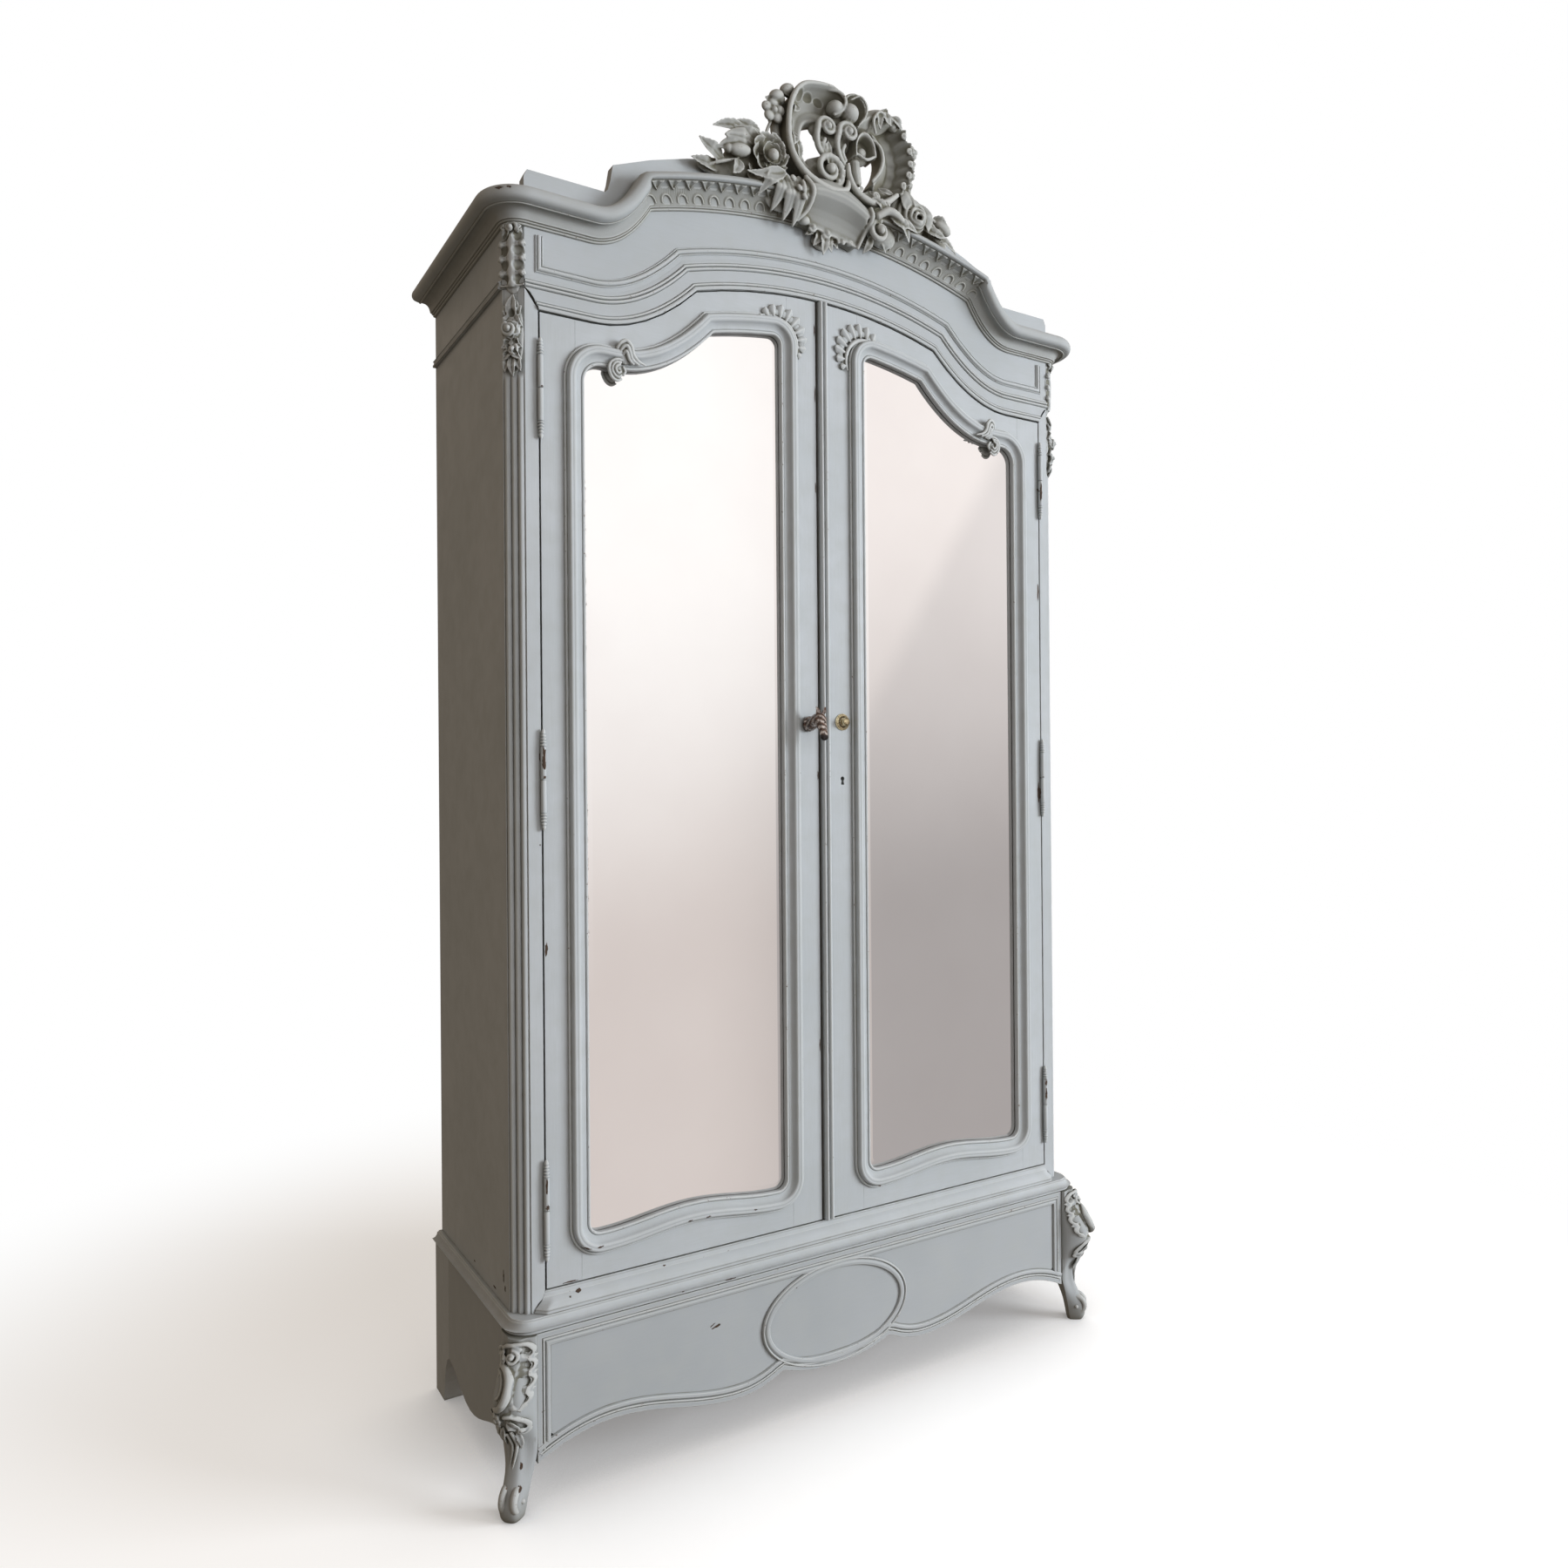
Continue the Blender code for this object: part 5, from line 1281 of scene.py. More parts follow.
# ---- drawer -------------------------------------------------------------------------------------
def apron_edge(u):
    """Height of the drawer front's scalloped lower edge."""
    arch_u, arch_z, lobe_u, lobe_z = 0.475, 0.1163, 0.215, 0.075
    cusp_u, cusp_z, corner_z, middle_z = 0.125, 0.0987, 0.083, 0.0765
    if u >= arch_u:
        return arch_z - (arch_z - corner_z) * ((u - arch_u) / (DRAWER_HALF - arch_u)) ** 2
    if u >= lobe_u:
        return lobe_z + (arch_z - lobe_z) * 0.5 * (1 + math.cos(math.pi * (arch_u - u) / (arch_u - lobe_u)))
    if u >= cusp_u:
        return lobe_z + (cusp_z - lobe_z) * ((lobe_u - u) / (lobe_u - cusp_u)) ** 2
    return middle_z + (cusp_z - middle_z) * (u / cusp_u) ** 2.4


def apron_row(side, steps=64):
    """The lower edge from the outside to the middle. The left half was cut a little lower."""
    drop = LEFT_APRON_DROP / DRAWER_HALF if side < 0 else 0.0
    return [(side * u, apron_edge(u) - drop * u) for u in np.linspace(DRAWER_HALF, 0.0, steps + 1)]


def build_drawer_front(paint):
    """A framed and scalloped front with an oval ring. The panel lies below its frame."""
    edge = apron_row(-1) + apron_row(1)[::-1][1:]
    outline = dense(edge + [(DRAWER_HALF, DRAWER_TOP), (-DRAWER_HALF, DRAWER_TOP)], 0.04)
    face = -DRAWER_FACE
    sunk = -0.0032
    section = chain(
        (0.0, -0.0216), (0.0, -0.0008), (-0.0008, 0.0), (-0.0085, 0.0), (-0.0093, -0.0022), (-0.0102, 0.0006),
        (-0.0132, 0.0006, -0.0007), (-0.014, -0.0022), (-0.015, -0.0004), (-0.0205, 0.0014, -0.0012),
        (-0.0232, -0.0008, -0.0009), (-0.0242, sunk), (-0.0262, sunk),
    )
    shape = front_sweep(Shape(), outline, section, base=face, hollow=-1)
    inner = [i * len(section) + len(section) - 1 for i in range(len(outline))]
    shape.faces.append(tuple(inner))
    ring_section = chain(
        (0.0, sunk), (0.0, -0.0008), (-0.0012, 0.0008), (-0.0042, 0.0008, -0.0009), (-0.0052, -0.0012),
        (-0.0064, -0.0006), (-0.0135, 0.0012, -0.0012), (-0.0165, -0.001, -0.0009), (-0.0172, sunk),
    )
    turn = np.linspace(0, 2 * math.pi, 121)[:-1]
    oval = np.stack((0.17 * np.cos(turn), 0.1775 + 0.0995 * np.sin(turn)), 1)
    front_sweep(shape, oval, ring_section, base=face + 0.0006, hollow=-1)
    shape.piece("drawer_face", paint, "drawer", replaces=["drawer_front"])


# ---- carvings on the crown moulding ---------------------------------------------------------------
def build_cove_carving(paint):
    """The arch's cove: pointed teeth along its head, eyed scallops along its foot, and comb lines."""
    count = 330
    line = chain((0.0412, -0.0134), (0.0078, -0.0446, -0.0062), step=0.0007)
    way = np.gradient(line, axis=0)
    way /= np.hypot(way[:, :1], way[:, 1:])
    out_normal = np.stack((-way[:, 1], way[:, 0]), 1)
    share = np.linspace(0, 1, len(line))
    centre = CORNICE_TOP.crown_z - CORNICE_TOP.radius
    turns = []
    for _, rise in line:
        kink = CORNICE_TOP.row(rise, POST_FLAT, 4, 18, 4)[22]
        turns.append(math.atan2(kink[0], kink[1] - centre) * 1.02)
    turns = np.array(turns)
    pitch = 0.0335
    shape = Shape()
    for side in (-1, 1):
        fraction = np.linspace(1.0, 0.19, count)
        turn = fraction[:, None] * turns[None, :]
        along = fraction * turns.mean() * (CORNICE_TOP.radius - 0.04)
        t = share[None, :]
        phase = ((along / pitch + 0.5) % 1.0 - 0.5)[:, None] * pitch
        half = (((along / pitch) % 1.0) - 0.5)[:, None] * pitch
        # teeth: raised, folded points that hang from the head
        edge = 0.0125 * (1 - t / 0.4)
        inside = np.clip((edge - np.abs(phase)) / 0.0016, 0, 1) * (t < 0.42)
        rim = np.exp(-(((np.abs(phase) - edge) / 0.0013) ** 2)) * (t < 0.45)
        height = 0.0022 * inside + 0.0026 * rim - 0.002 * inside * np.exp(-((phase / 0.004) ** 2))
        # scallops: small eyes along the foot, each under a raised brow
        eye = np.hypot(half / 0.0062, (t - 0.84) / 0.14)
        brow = np.exp(-(((np.hypot(half / 0.0098, (t - 0.86) / 0.26) - 1) / 0.16) ** 2)) * (t < 0.9)
        height = height - 0.004 * np.exp(-(eye**3)) + 0.002 * brow
        # hollow between the teeth, and the comb marks of the gouge
        height = height - 0.0022 * np.exp(-((half / 0.011) ** 2)) * np.exp(-(((t - 0.26) / 0.2) ** 2))
        comb = np.sin(2 * math.pi * along / 0.0036) * np.exp(-(((along - 0.325) / 0.03) ** 2))
        height = height + 0.00035 * comb[:, None] * np.exp(-(((t - 0.55) / 0.25) ** 2))
        height = height * np.clip((t + 0.001) / 0.04, 0, 1) * np.clip((1.0 - t) / 0.05, 0, 1) + 0.0006
        point = line[None, :, :] + out_normal[None, :, :] * height[..., None]
        radius = CORNICE_TOP.radius + point[..., 1]
        x = side * radius * np.sin(turn)
        z = centre + radius * np.cos(turn)
        rings = placed(x, -point[..., 0] - GAP, z)
        blur = height.copy()
        for axis in (0, 1):
            for _ in range(10):
                blur = 0.5 * blur + 0.25 * (np.roll(blur, 1, axis) + np.roll(blur, -1, axis))
        shape.grid(rings, np.clip((height - blur) / 0.0007, -1, 1), False, (0, -1, 0))
    shape.piece("cove_carving", paint, crease=80)


def build_crown_carvings(paint):
    """Shield, pendant and acanthus over the middle of the crown moulding."""
    c = Carving()
    top = [(-80, 2352), (-50, 2366), (-20, 2372), (20, 2370), (50, 2358), (78, 2342)]
    foot = [(-66, 2288), (-44, 2286), (-16, 2280), (14, 2276), (40, 2274), (66, 2268)]
    profile = ((0.0, 44), (0.1, 52), (0.2, 57), (0.32, 58.5), (0.42, 55), (0.52, 46), (0.62, 37), (0.74, 30),
               (0.88, 25), (1.0, 25))
    c.ribbon(top, foot, profile, back=1, count=44)
    c.tube([(-80, 2346, 56), (-79, 2328, 60), (-73, 2310, 40), (-66, 2288, 24)], (4.5, 5, 4.5, 3.5))
    c.tube([(79, 2336, 56), (82, 2318, 58), (77, 2296, 38), (69, 2268, 24)], (4.5, 5, 4.5, 3.5))
    for x, z, r, way in ((-36, 2284, 8, 1), (-3, 2280, 8.5, 1), (32, 2272, 8, -1)):
        c.spiral((x, z), r, 200, 1.1, 3.4, 22, way=way, rise=4)
    for x, z in ((-56, 2292), (52, 2276)):
        c.ball((x, z, 20), (9, 6, 7))
    # pendant of leaves
    c.ball((-6, 2270, 4), (22, 16, 8))
    c.leaf((-6, 2286, 16), (-8, 2240, 17), 22, lift=7, vein=2.2)
    c.leaf((-14, 2286, 14), (-30, 2254, 14), 17, bend=2, lift=5, vein=1.8)
    c.leaf((2, 2284, 14), (15, 2251, 14), 17, bend=-2, lift=5, vein=1.8)
    c.leaf((-28, 2288, 12), (-48, 2272, 13), 13, bend=2, lift=4)
    c.leaf((12, 2282, 12), (32, 2262, 13), 13, bend=-2, lift=4)
    # acanthus to the left
    c.ball((-112, 2322, 22), (36, 28, 10), 10)
    c.leaf((-112, 2358, 48), (-198, 2338, 48), 24, bend=7, lift=10, lobes=1)
    c.leaf((-128, 2352, 48), (-168, 2304, 36), 22, bend=-4, lift=16, lobes=1)
    fringe = ((-132, -132, 2290, 25), (-114, -106, 2278, 27), (-96, -84, 2272, 25), (-84, -70, 2286, 20))
    for x0, x1, z1, w in fringe:
        c.leaf((x0, 2360, 46), (x1, z1, 24), w, bend=7, lift=(0, 23, 2), cup=-0.3, vein=1.6, thick=8)
    c.tube([(-72, 2358, 54), (-58, 2334, 60), (-60, 2306, 40), (-76, 2286, 28)], (5, 6, 5.5, 4))
    c.ball((-58, 2292, 24), (13, 9, 9))
    for x, z in ((-104, 2344), (-90, 2330), (-78, 2316)):
        c.ball((x, z, 60), (7, 5, 4), -40)
    # curl to the right
    c.ball((124, 2308, 26), (36, 26, 16), -16)
    c.spiral((106, 2302), 22, 80, 1.25, 7.0, 46, rise=8)
    c.tube([(178, 2318, 44), (150, 2334, 58), (120, 2340, 60), (96, 2326, 54)], (4, 7, 8.5, 7.5))
    c.leaf((118, 2336, 56), (84, 2362, 52), 20, bend=-3, vein=1.8)
    c.leaf((124, 2342, 56), (112, 2370, 48), 18, bend=3, vein=1.8)
    c.leaf((130, 2334, 54), (186, 2300, 42), 24, bend=6, lift=12, vein=1.8)
    c.leaf((96, 2296, 32), (84, 2264, 20), 18, bend=3)
    c.leaf((138, 2326, 52), (204, 2322, 48), 19, bend=3, lift=8, vein=1.8)
    c.leaf((126, 2300, 34), (140, 2276, 24), 16, bend=-3, lift=5)
    c.piece("crown_cartouche", paint, 1.7)


CHAMFER_PLANE = ((0.6205, 0.0145), (math.sqrt(0.5), math.sqrt(0.5)), (math.sqrt(0.5), -math.sqrt(0.5)))


def corner_block(side):
    """A column of thumb-nail hollows between pointed pads, under a small curled shell."""
    c = Carving(CHAMFER_PLANE, side)
    c.ball((0, 2102, 0), (23, 66, 8.5))
    c.tube([(0, 2052, 6), (0, 2080, 7), (0, 2104, 7.5), (0, 2134, 6)], (8.0, 7.5, 7.5, 7.5), flat=0.55)
    for s in (-1, 1):
        for z in (2120, 2095, 2070):
            c.leaf((0, z + 9, 4), (s * 25, z - 3, 7), 13, bend=s * 3, lift=2, cup=-0.2, thick=7, vein=0)
            c.ball((s * 19, z - 1, 5), (5, 4.5, 5))
        for z in (2133, 2108, 2083, 2059):
            c.gouge(s * 13, z, (11.5, 9.5), 4.5, -24 * s)
    c.spiral((-1, 2146), 10.5, 210, -1.1, 4.0, 8, rise=6)
    for k in range(5):
        turn = 15 + 37 * k
        c.leaf(polar(0, 2144, turn, 5, 6, 4), polar(0, 2144, turn, 20, 9, 15), 12, lift=3, thick=4)
    c.leaf((8, 2150, 8), (17, 2128, 8), 12, bend=-4, lift=4, thick=4)
    c.tube([(-21, 2052, 3), (0, 2050, 4.5), (21, 2052, 3)], (2.4, 2.8, 2.4))
    return c


def post_drop(side):
    """A hanging trophy of leaves, a furled flower and curls, at the head of the post."""
    c = Carving(CHAMFER_PLANE, side)
    c.ball((0, 1966, 0), (19, 66, 5.5))
    c.leaf((1, 1992, 4), (-1, 2036, 5), 20, vein=2.0, thick=5)
    c.leaf((-3, 2002, 5), (-19, 1980, 7), 16, bend=3, lift=4, thick=5)
    c.leaf((3, 2002, 5), (19, 1982, 7), 16, bend=-3, lift=4, thick=5)
    c.leaf((8, 1998, 4), (16, 2018, 5), 11, lift=3, thick=4)
    c.leaf((-8, 1998, 4), (-16, 2016, 5), 11, lift=3, thick=4)
    c.gouge(0, 2003, (6.5, 7.5), 6)
    c.ball((1, 1974, 7), (17, 15, 7))
    c.spiral((2, 1974), 12, 60, -1.5, 4.2, 13, rise=5)
    for k in range(6):
        turn = 60 * k + 20
        start, tip = polar(2, 1974, turn, 6, 8), polar(2, 1974, turn, 18, 9, 17)
        c.leaf(start, tip, 16, lift=(0, 3, 1), cup=0.3, thick=4)
    for s in (-1, 1):
        c.leaf((s * 2, 1960, 6), (s * 19, 1944, 8), 16, bend=s * -3, lift=(0, 5, 1), lobes=1, thick=5)
        c.leaf((s * 2, 1944, 6), (s * 18, 1924, 8), 14, bend=s * -3, lift=(0, 5, 1), thick=5)
        c.leaf((s * 4, 1930, 4), (s * 14, 1905, 6), 13, bend=s * 2, lift=4, thick=5)
        c.gouge(s * 9, 1953, (5, 3.4), 5, -40 * s)
        c.gouge(s * 9, 1934, (5, 3.4), 5, -40 * s)
    c.spiral((-4, 1939), 8.5, 120, 1.2, 3.2, 11, rise=5)
    c.gouge(5, 1946, (4, 4), 6)
    c.leaf((0, 1930, 6), (0, 1897, 5), 15, vein=2.0, thick=5)
    return c


# ---- legs ---------------------------------------------------------------------------------------
LEG_SECTIONS = (
    (0.000, 0.631, 0.664, -0.038, -0.006, 0.012),
    (0.01, 0.628, 0.669, -0.043, -0.002, 0.015),
    (0.03, 0.624, 0.67, -0.044, 0.002, 0.018),
    (0.052, 0.619, 0.662, -0.037, 0.006, 0.02),
    (0.075, 0.613, 0.655, -0.029, 0.012, 0.02),
    (0.095, LEG_INNER + 0.001, 0.653, -0.026, 0.02, 0.016),
    (0.12, LEG_INNER, 0.656, -0.028, 0.026, 0.008),
    (0.145, LEG_INNER, 0.664, -0.039, 0.029, 0.002),
    (0.175, LEG_INNER, 0.676, -0.051, 0.03, 0.001),
    (0.205, LEG_INNER, 0.677, -0.052, 0.03, 0.001),
    (0.235, LEG_INNER, 0.665, -0.04, 0.03, 0.001),
    (0.265, LEG_INNER, 0.654, -0.03, 0.03, 0.001),
    (BASE_TOP, LEG_INNER, 0.651, -0.0285, 0.03, 0.001),
)
LEG_PLANE = ((0.64, -0.015), (math.sqrt(0.5), math.sqrt(0.5)), (math.sqrt(0.5), -math.sqrt(0.5)))


def leg_body(side, word, paint):
    """A smooth cabriole body through the same sections as the CAD leg, a little inside its knee."""
    rows = []
    for z, inner, outer, front, back, rear in LEG_SECTIONS:
        cut = 0.35 * (outer - inner)
        flank = max(front, DRAWER_FACE - 0.002)
        plan = [
            (inner + rear, back), (inner, back - rear), (inner, flank), (outer - 1.6 * cut, front),
            (outer - 0.8 * cut, front), (outer, front + 0.8 * cut), (outer, front + 1.6 * cut),
            (min(outer, 0.648), back),
        ]
        rows.append([(*p, z) for p in plan])
    rows = np.array(rows)
    tall = np.stack([smoothed_path(rows[:, k], 72) for k in range(rows.shape[1])], 1)
    rings = []
    for row in tall:
        finer = []
        for k in range(len(row)):
            p0, p1, p2, p3 = (row[(k + j) % len(row)] for j in (-1, 0, 1, 2))
            for t in (0.0, 0.25, 0.5, 0.75):
                # the sides that meet the aprons stay straight
                finer.append(p1 + (p2 - p1) * t if k in (0, 1, 7) else catmull_rom(p0, p1, p2, p3, t))
        finer = np.array(finer + finer[:1])
        rings.append(placed(side * finer[:, 0], finer[:, 1], finer[:, 2]))
    shape = Shape().grid(rings)
    top, foot = rings[-1][:-1], rings[0][:-1]
    flip = side > 0
    if flip:
        shape.faces = [face[::-1] for face in shape.faces]
    shape.add(foot, [tuple(range(len(foot)))[:: -1 if flip else 1]])
    shape.add(top, [tuple(range(len(top)))[:: 1 if flip else -1]])
    shape.piece(f"{word}_leg_body", paint, replaces=[f"front_leg_{word}"])


def knee(across, height):
    """How far the leg stands out along its diagonal, in millimetres."""
    heights = (60, 100, 120, 145, 175, 205, 235, 265, 292)
    reach = (10, 9, 12, 24, 38, 39, 25, 12, 8.5)
    return np.interp(height, heights, reach) - across**2 / 46


def leg_carving(side):
    """A rocaille knee: a ruffled, hollowed shell towards the front, a C-scroll behind it, curls over
    them, a rosette and leaf drops below."""
    c = Carving(LEG_PLANE, side)
    c.ball((-3, 224, -2), (32, 62, 8))
    rim = [(-4, 285), (-22, 284), (-31, 274), (-28, 263), (-34, 251), (-31, 241), (-36, 229), (-32, 217),
           (-35, 206), (-28, 196), (-20, 187), (-8, 182)]
    c.tube([(x, z, 6) for x, z in rim], (3.2, 3.6, 3.6, 3.2), count=70)
    for x, z in ((-30, 263), (-32, 240), (-33, 217), (-26, 194)):
        c.leaf((-8, z + 3, 5), (x - 6, z, 7), 13, bend=1, lift=3, cup=-0.3, thick=6, vein=0)
    c.gouge(-21, 229, (9, 38), 5.0)
    for x, z, r in ((-24, 270, 7), (-27, 251, 7.5), (-28, 229, 8.5), (-26, 206, 8), (-18, 187, 6)):
        c.gouge(x, z, (r, 0.82 * r), 8.5, 12)
    # C-scroll with a fine inner line
    c.tube([(19, 252, 6), (5, 251, 10), (-5, 240, 13), (-7, 224, 14), (-3, 208, 13), (8, 195, 10),
            (25, 186, 6)], (3.0, 5.4, 7.2, 7.8, 7.0, 5.0, 2.8))
    c.tube([(24, 243, 5), (15, 240, 6), (9, 228, 7), (12, 212, 6), (24, 200, 4)], (1.6, 2.2, 2.4, 2.2, 1.6))
    c.gouge(17, 224, (6, 16), 3)
    # curls over it
    c.spiral((-3, 267), 11, 90, 1.3, 3.4, 8, rise=4)
    c.spiral((13, 264), 8, 90, -1.2, 2.8, 7, rise=3)
    c.tube([(-16, 276, 6), (-6, 284, 7), (8, 283, 7), (18, 276, 6)], (2.2, 3.2, 3.2, 2.2))
    c.leaf((14, 276, 5), (31, 258, 5), 12, bend=4, lift=4, thick=4)
    # rosette and leaves at its foot
    for k in range(6):
        c.ball(polar(16, 172, 60 * k, 7.5, 7), (5, 5, 4.5))
    c.ball((16, 172, 11), 4)
    c.leaf((22, 172, 5), (42, 166, 4), 13, bend=3, lift=5, thick=4)
    c.gouge(2, 170, (5, 6), 5)
    # band that curls up at the front
    c.tube([(0, 182, 7), (-14, 182, 8), (-26, 173, 8), (-32, 160, 7), (-28, 149, 6)], (3, 3.6, 3.6, 3.2, 2.6))
    c.spiral((-24, 152), 7.5, 180, 1.1, 2.8, 6, rise=4)
    c.leaf((-2, 172, 5), (-18, 150, 5), 16, bend=-3, lift=5, thick=5)
    # drops
    c.leaf((14, 160, 4), (25, 122, 3), 13, bend=-2, vein=1.8, thick=5)
    c.leaf((5, 160, 5), (10, 118, 4), 11, bend=2, vein=1.8, thick=5)
    c.ball((26, 146, 4), (6, 9, 5))
    c.tube([(-6, 150, 4), (-9, 124, 3), (-3, 96, 2), (5, 68, 1)], (3.4, 2.8, 2.2, 1.4))
    c.tube([(2, 146, 4), (-1, 120, 3), (4, 94, 2), (9, 72, 1)], (2.8, 2.4, 1.8, 1.2))
    c.leaf((-14, 150, 4), (-14, 112, 3), 9, bend=-3, lift=4, thick=4)
    return c


def toe_scroll(side):
    """The rolled toe: two scrolls side by side, wound in the plane of the leg's diagonal."""
    plane = (LEG_PLANE[0], LEG_PLANE[2], LEG_PLANE[1])
    c = Carving(plane, side)
    thick = 7.4
    for offset in (-10, 10):
        points, radii = [], []
        for i in range(34):
            t = i / 33
            r = 21 * (1 - t) ** 0.8 + 3 * t
            points.append(polar(15, 31, 128 - 470 * t, r, offset * (1 + 0.25 * t)))
            radii.append(thick * (1 - 0.35 * t))
        stem = [(-3, 74, offset * 0.6), (-2, 60, offset * 0.8)]
        c.tube(stem + points, [thick * 0.4, thick * 0.8] + radii, count=90)
    turns = np.degrees(np.linspace(0, 6.0, 20))
    c.rings([[polar(13, 29, turn, 11, p) for turn in turns] for p in (-14, 14)])
    for side_of in (-1, 1):
        c.tube([(15, 31, side_of * 13), (15, 31, side_of * 20)], (6, 4.5))
    return c


def build_legs(paint):
    for side, word in SIDES:
        leg_body(side, word, paint)
        carving = leg_carving(side)
        world, faces, cavity = carving.fuse(1.25)
        # lay the flat carving over the swelling knee
        origin, along, outward = (np.array(v) for v in LEG_PLANE)
        flat = np.stack((side * world[:, 0], world[:, 1] - FACE_Y), 1) - origin
        across = flat @ along * 1000
        lift = knee(across, world[:, 2] * 1000) / 1000
        world[:, 0] += side * outward[0] * lift
        world[:, 1] += outward[1] * lift
        Shape().add(world, faces, cavity).piece(f"{word}_knee_carving", paint, crease=CARVED_CREASE)
        toe_scroll(side).piece(f"{word}_toe_scroll", paint, 1.3)


# ---- door ornaments -----------------------------------------------------------------------------
def build_door_ornaments(paint):
    """Shell fans at the inner top corners, and fluted curls where the mirror heads turn."""
    fans = {-1: (111, 2050, 1.0), 1: (99, 2049, 1.03)}
    for side, word in SIDES:
        c = Carving(side=side)
        x, z, scale = fans[side]
        for k in range(10):
            turn = 54 + 15.5 * k
            swell = math.sin(math.pi * (k + 0.9) / 10.6) ** 0.7
            start, tip = polar(x, z, turn, 44, 5.0), polar(x, z, turn, (49 + 31 * swell) * scale, 4.0)
            width = 20.5 * (0.5 + 0.5 * swell)
            c.leaf(start, tip, width, lift=(0, 3.0, 2.5), cup=-0.55, thick=5, blunt=2.2, vein=-0.6)
        rim = [polar(x, z, 46 + 13.2 * k, 47, 5.0) for k in range(13)]
        c.tube(rim, (1.6, 4.0, 5.0, 4.0, 1.6), count=60)
        reaches = (48, 54, 60, 62, 63, 63, 63, 63, 62, 60, 54, 48)
        web = [polar(x, z, turn, r, 2.0) for turn, r in zip(np.linspace(62, 190, 12), reaches)]
        c.tube(web, (2.5, 6.0, 8.0, 8.5, 8.0, 6.0, 2.5), flat=0.45, count=60)
        # fluted curl over the moulding's shoulder
        c.tube([(441, 1973, 8), (436, 1983, 12), (426, 1988, 14), (417, 1979, 15), (413, 1965, 15),
                (403, 1956, 14), (388, 1952, 12)], (3.4, 4.0, 4.2, 4.0, 3.6, 2.8, 1.6))
        c.tube([(436, 1969, 10), (431, 1977, 14), (425, 1978, 16), (420, 1968, 16), (415, 1957, 15),
                (402, 1950, 13)], (3.2, 3.6, 3.8, 3.6, 3.0, 1.8))
        c.tube([(431, 1963, 11), (428, 1969, 15), (425, 1966, 16), (421, 1956, 15), (412, 1949, 13)],
               (2.8, 3.2, 3.2, 2.8, 1.8))
        c.ball((426, 1968, 6), (16, 20, 8))
        # ribbed drop
        c.ball((441, 1936, 4), (13, 14, 5))
        c.tube([(430, 1954, 9), (443, 1954, 9), (454, 1946, 8), (456, 1934, 7), (450, 1922, 6),
                (441, 1918, 6), (432, 1922, 6)], (2.4, 3.0, 3.2, 3.2, 3.2, 2.8, 2.0))
        c.tube([(435, 1949, 11), (446, 1947, 11), (451, 1936, 9), (446, 1927, 8), (439, 1924, 8),
                (433, 1928, 8)], (2.2, 2.6, 2.6, 2.6, 2.4, 1.8))
        c.tube([(437, 1945, 12), (444, 1941, 12), (445, 1935, 11), (440, 1930, 10), (435, 1934, 10)],
               (2.2, 2.6, 2.4, 2.2))
        c.tube([(430, 1943, 8), (426, 1936, 7), (429, 1929, 6)], (2.8, 3.0, 2.2))
        c.piece(f"{word}_door_carvings", paint, 1.0, f"{word}_door")


# ---- hardware -----------------------------------------------------------------------------------
def turned(shape, profile, centre, axis="z", steps=28, value=None):
    """A lathe shape: (radius, height) points about z, or about the axis that faces forward."""
    profile = np.asarray(profile, float)
    turn = np.linspace(0, 2 * math.pi, steps + 1)[:-1]
    r, h = profile[None, :, 0], profile[None, :, 1]
    c, s = np.cos(turn)[:, None], np.sin(turn)[:, None]
    if axis == "z":
        rings = np.stack((centre[0] + r * c, centre[1] + r * s, centre[2] + h + 0 * c), -1)
    else:
        rings = np.stack((centre[0] + r * c, centre[1] - h + 0 * c, centre[2] + r * s), -1)
    start = len(shape.faces)
    shape.grid(rings, value, True)
    verts, f = np.array(shape.verts), np.array(shape.faces[start:])
    p, q, t = verts[f[:, 0]], verts[f[:, 1]], verts[f[:, 3]]
    away = verts[f].mean(1) - np.array(centre, float)
    if axis == "z":
        away[:, 2] = 0
    if (np.cross(q - p, t - p) * away).sum() < 0:
        shape.faces[start:] = [face[::-1] for face in shape.faces[start:]]
    return shape


def hinge_half(centre, side, up):
    """Half a barrel with its ringed finial, and the edge of its leaf in the joint beside the door."""
    way = 1 if up else -1
    profile = [(0.0, 0.0006), (0.0044, 0.0006), (0.0048, 0.0014), (0.0048, 0.054), (0.0046, 0.056)]
    # recess values that paint a highlight on the bead crests and shade in the grooves between them
    light = [-1.0, -0.8, 0.5, 0.3, -0.4]
    h = 0.056
    for ring in range(4):
        wide = 0.0053 - 0.0003 * ring
        profile += [(0.003, h + 0.0007), (wide, h + 0.0022), (wide, h + 0.0036), (0.003, h + 0.005)]
        light += [-1.0, 1.6, 1.6, -1.0]
        h += 0.0053
    profile += [(0.003, h), (0.0038, h + 0.003), (0.003, h + 0.006), (0.0014, h + 0.009), (0.0, h + 0.01)]
    light += [-1.0, 1.2, 1.2, 0.6, 0.6]
    shape = turned(Shape(), np.array(profile) * (1, way), centre, steps=20, value=np.array(light))
    near, far = (-0.001, -0.0001) if up else (0.0002, 0.0012)
    leaf_x = sorted((side * (HINGE_U + near), side * (HINGE_U + far)))
    leaf_y = (centre[1], FACE_Y + 0.022)
    leaf_z = sorted((centre[2] + way * 0.003, centre[2] + way * 0.057))
    corners = [(x, y, z) for z in leaf_z for y in leaf_y for x in leaf_x]
    sides = [(0, 1, 3, 2), (4, 6, 7, 5), (0, 4, 5, 1), (2, 3, 7, 6), (0, 2, 6, 4), (1, 5, 7, 3)]
    return shape.add(corners, sides)


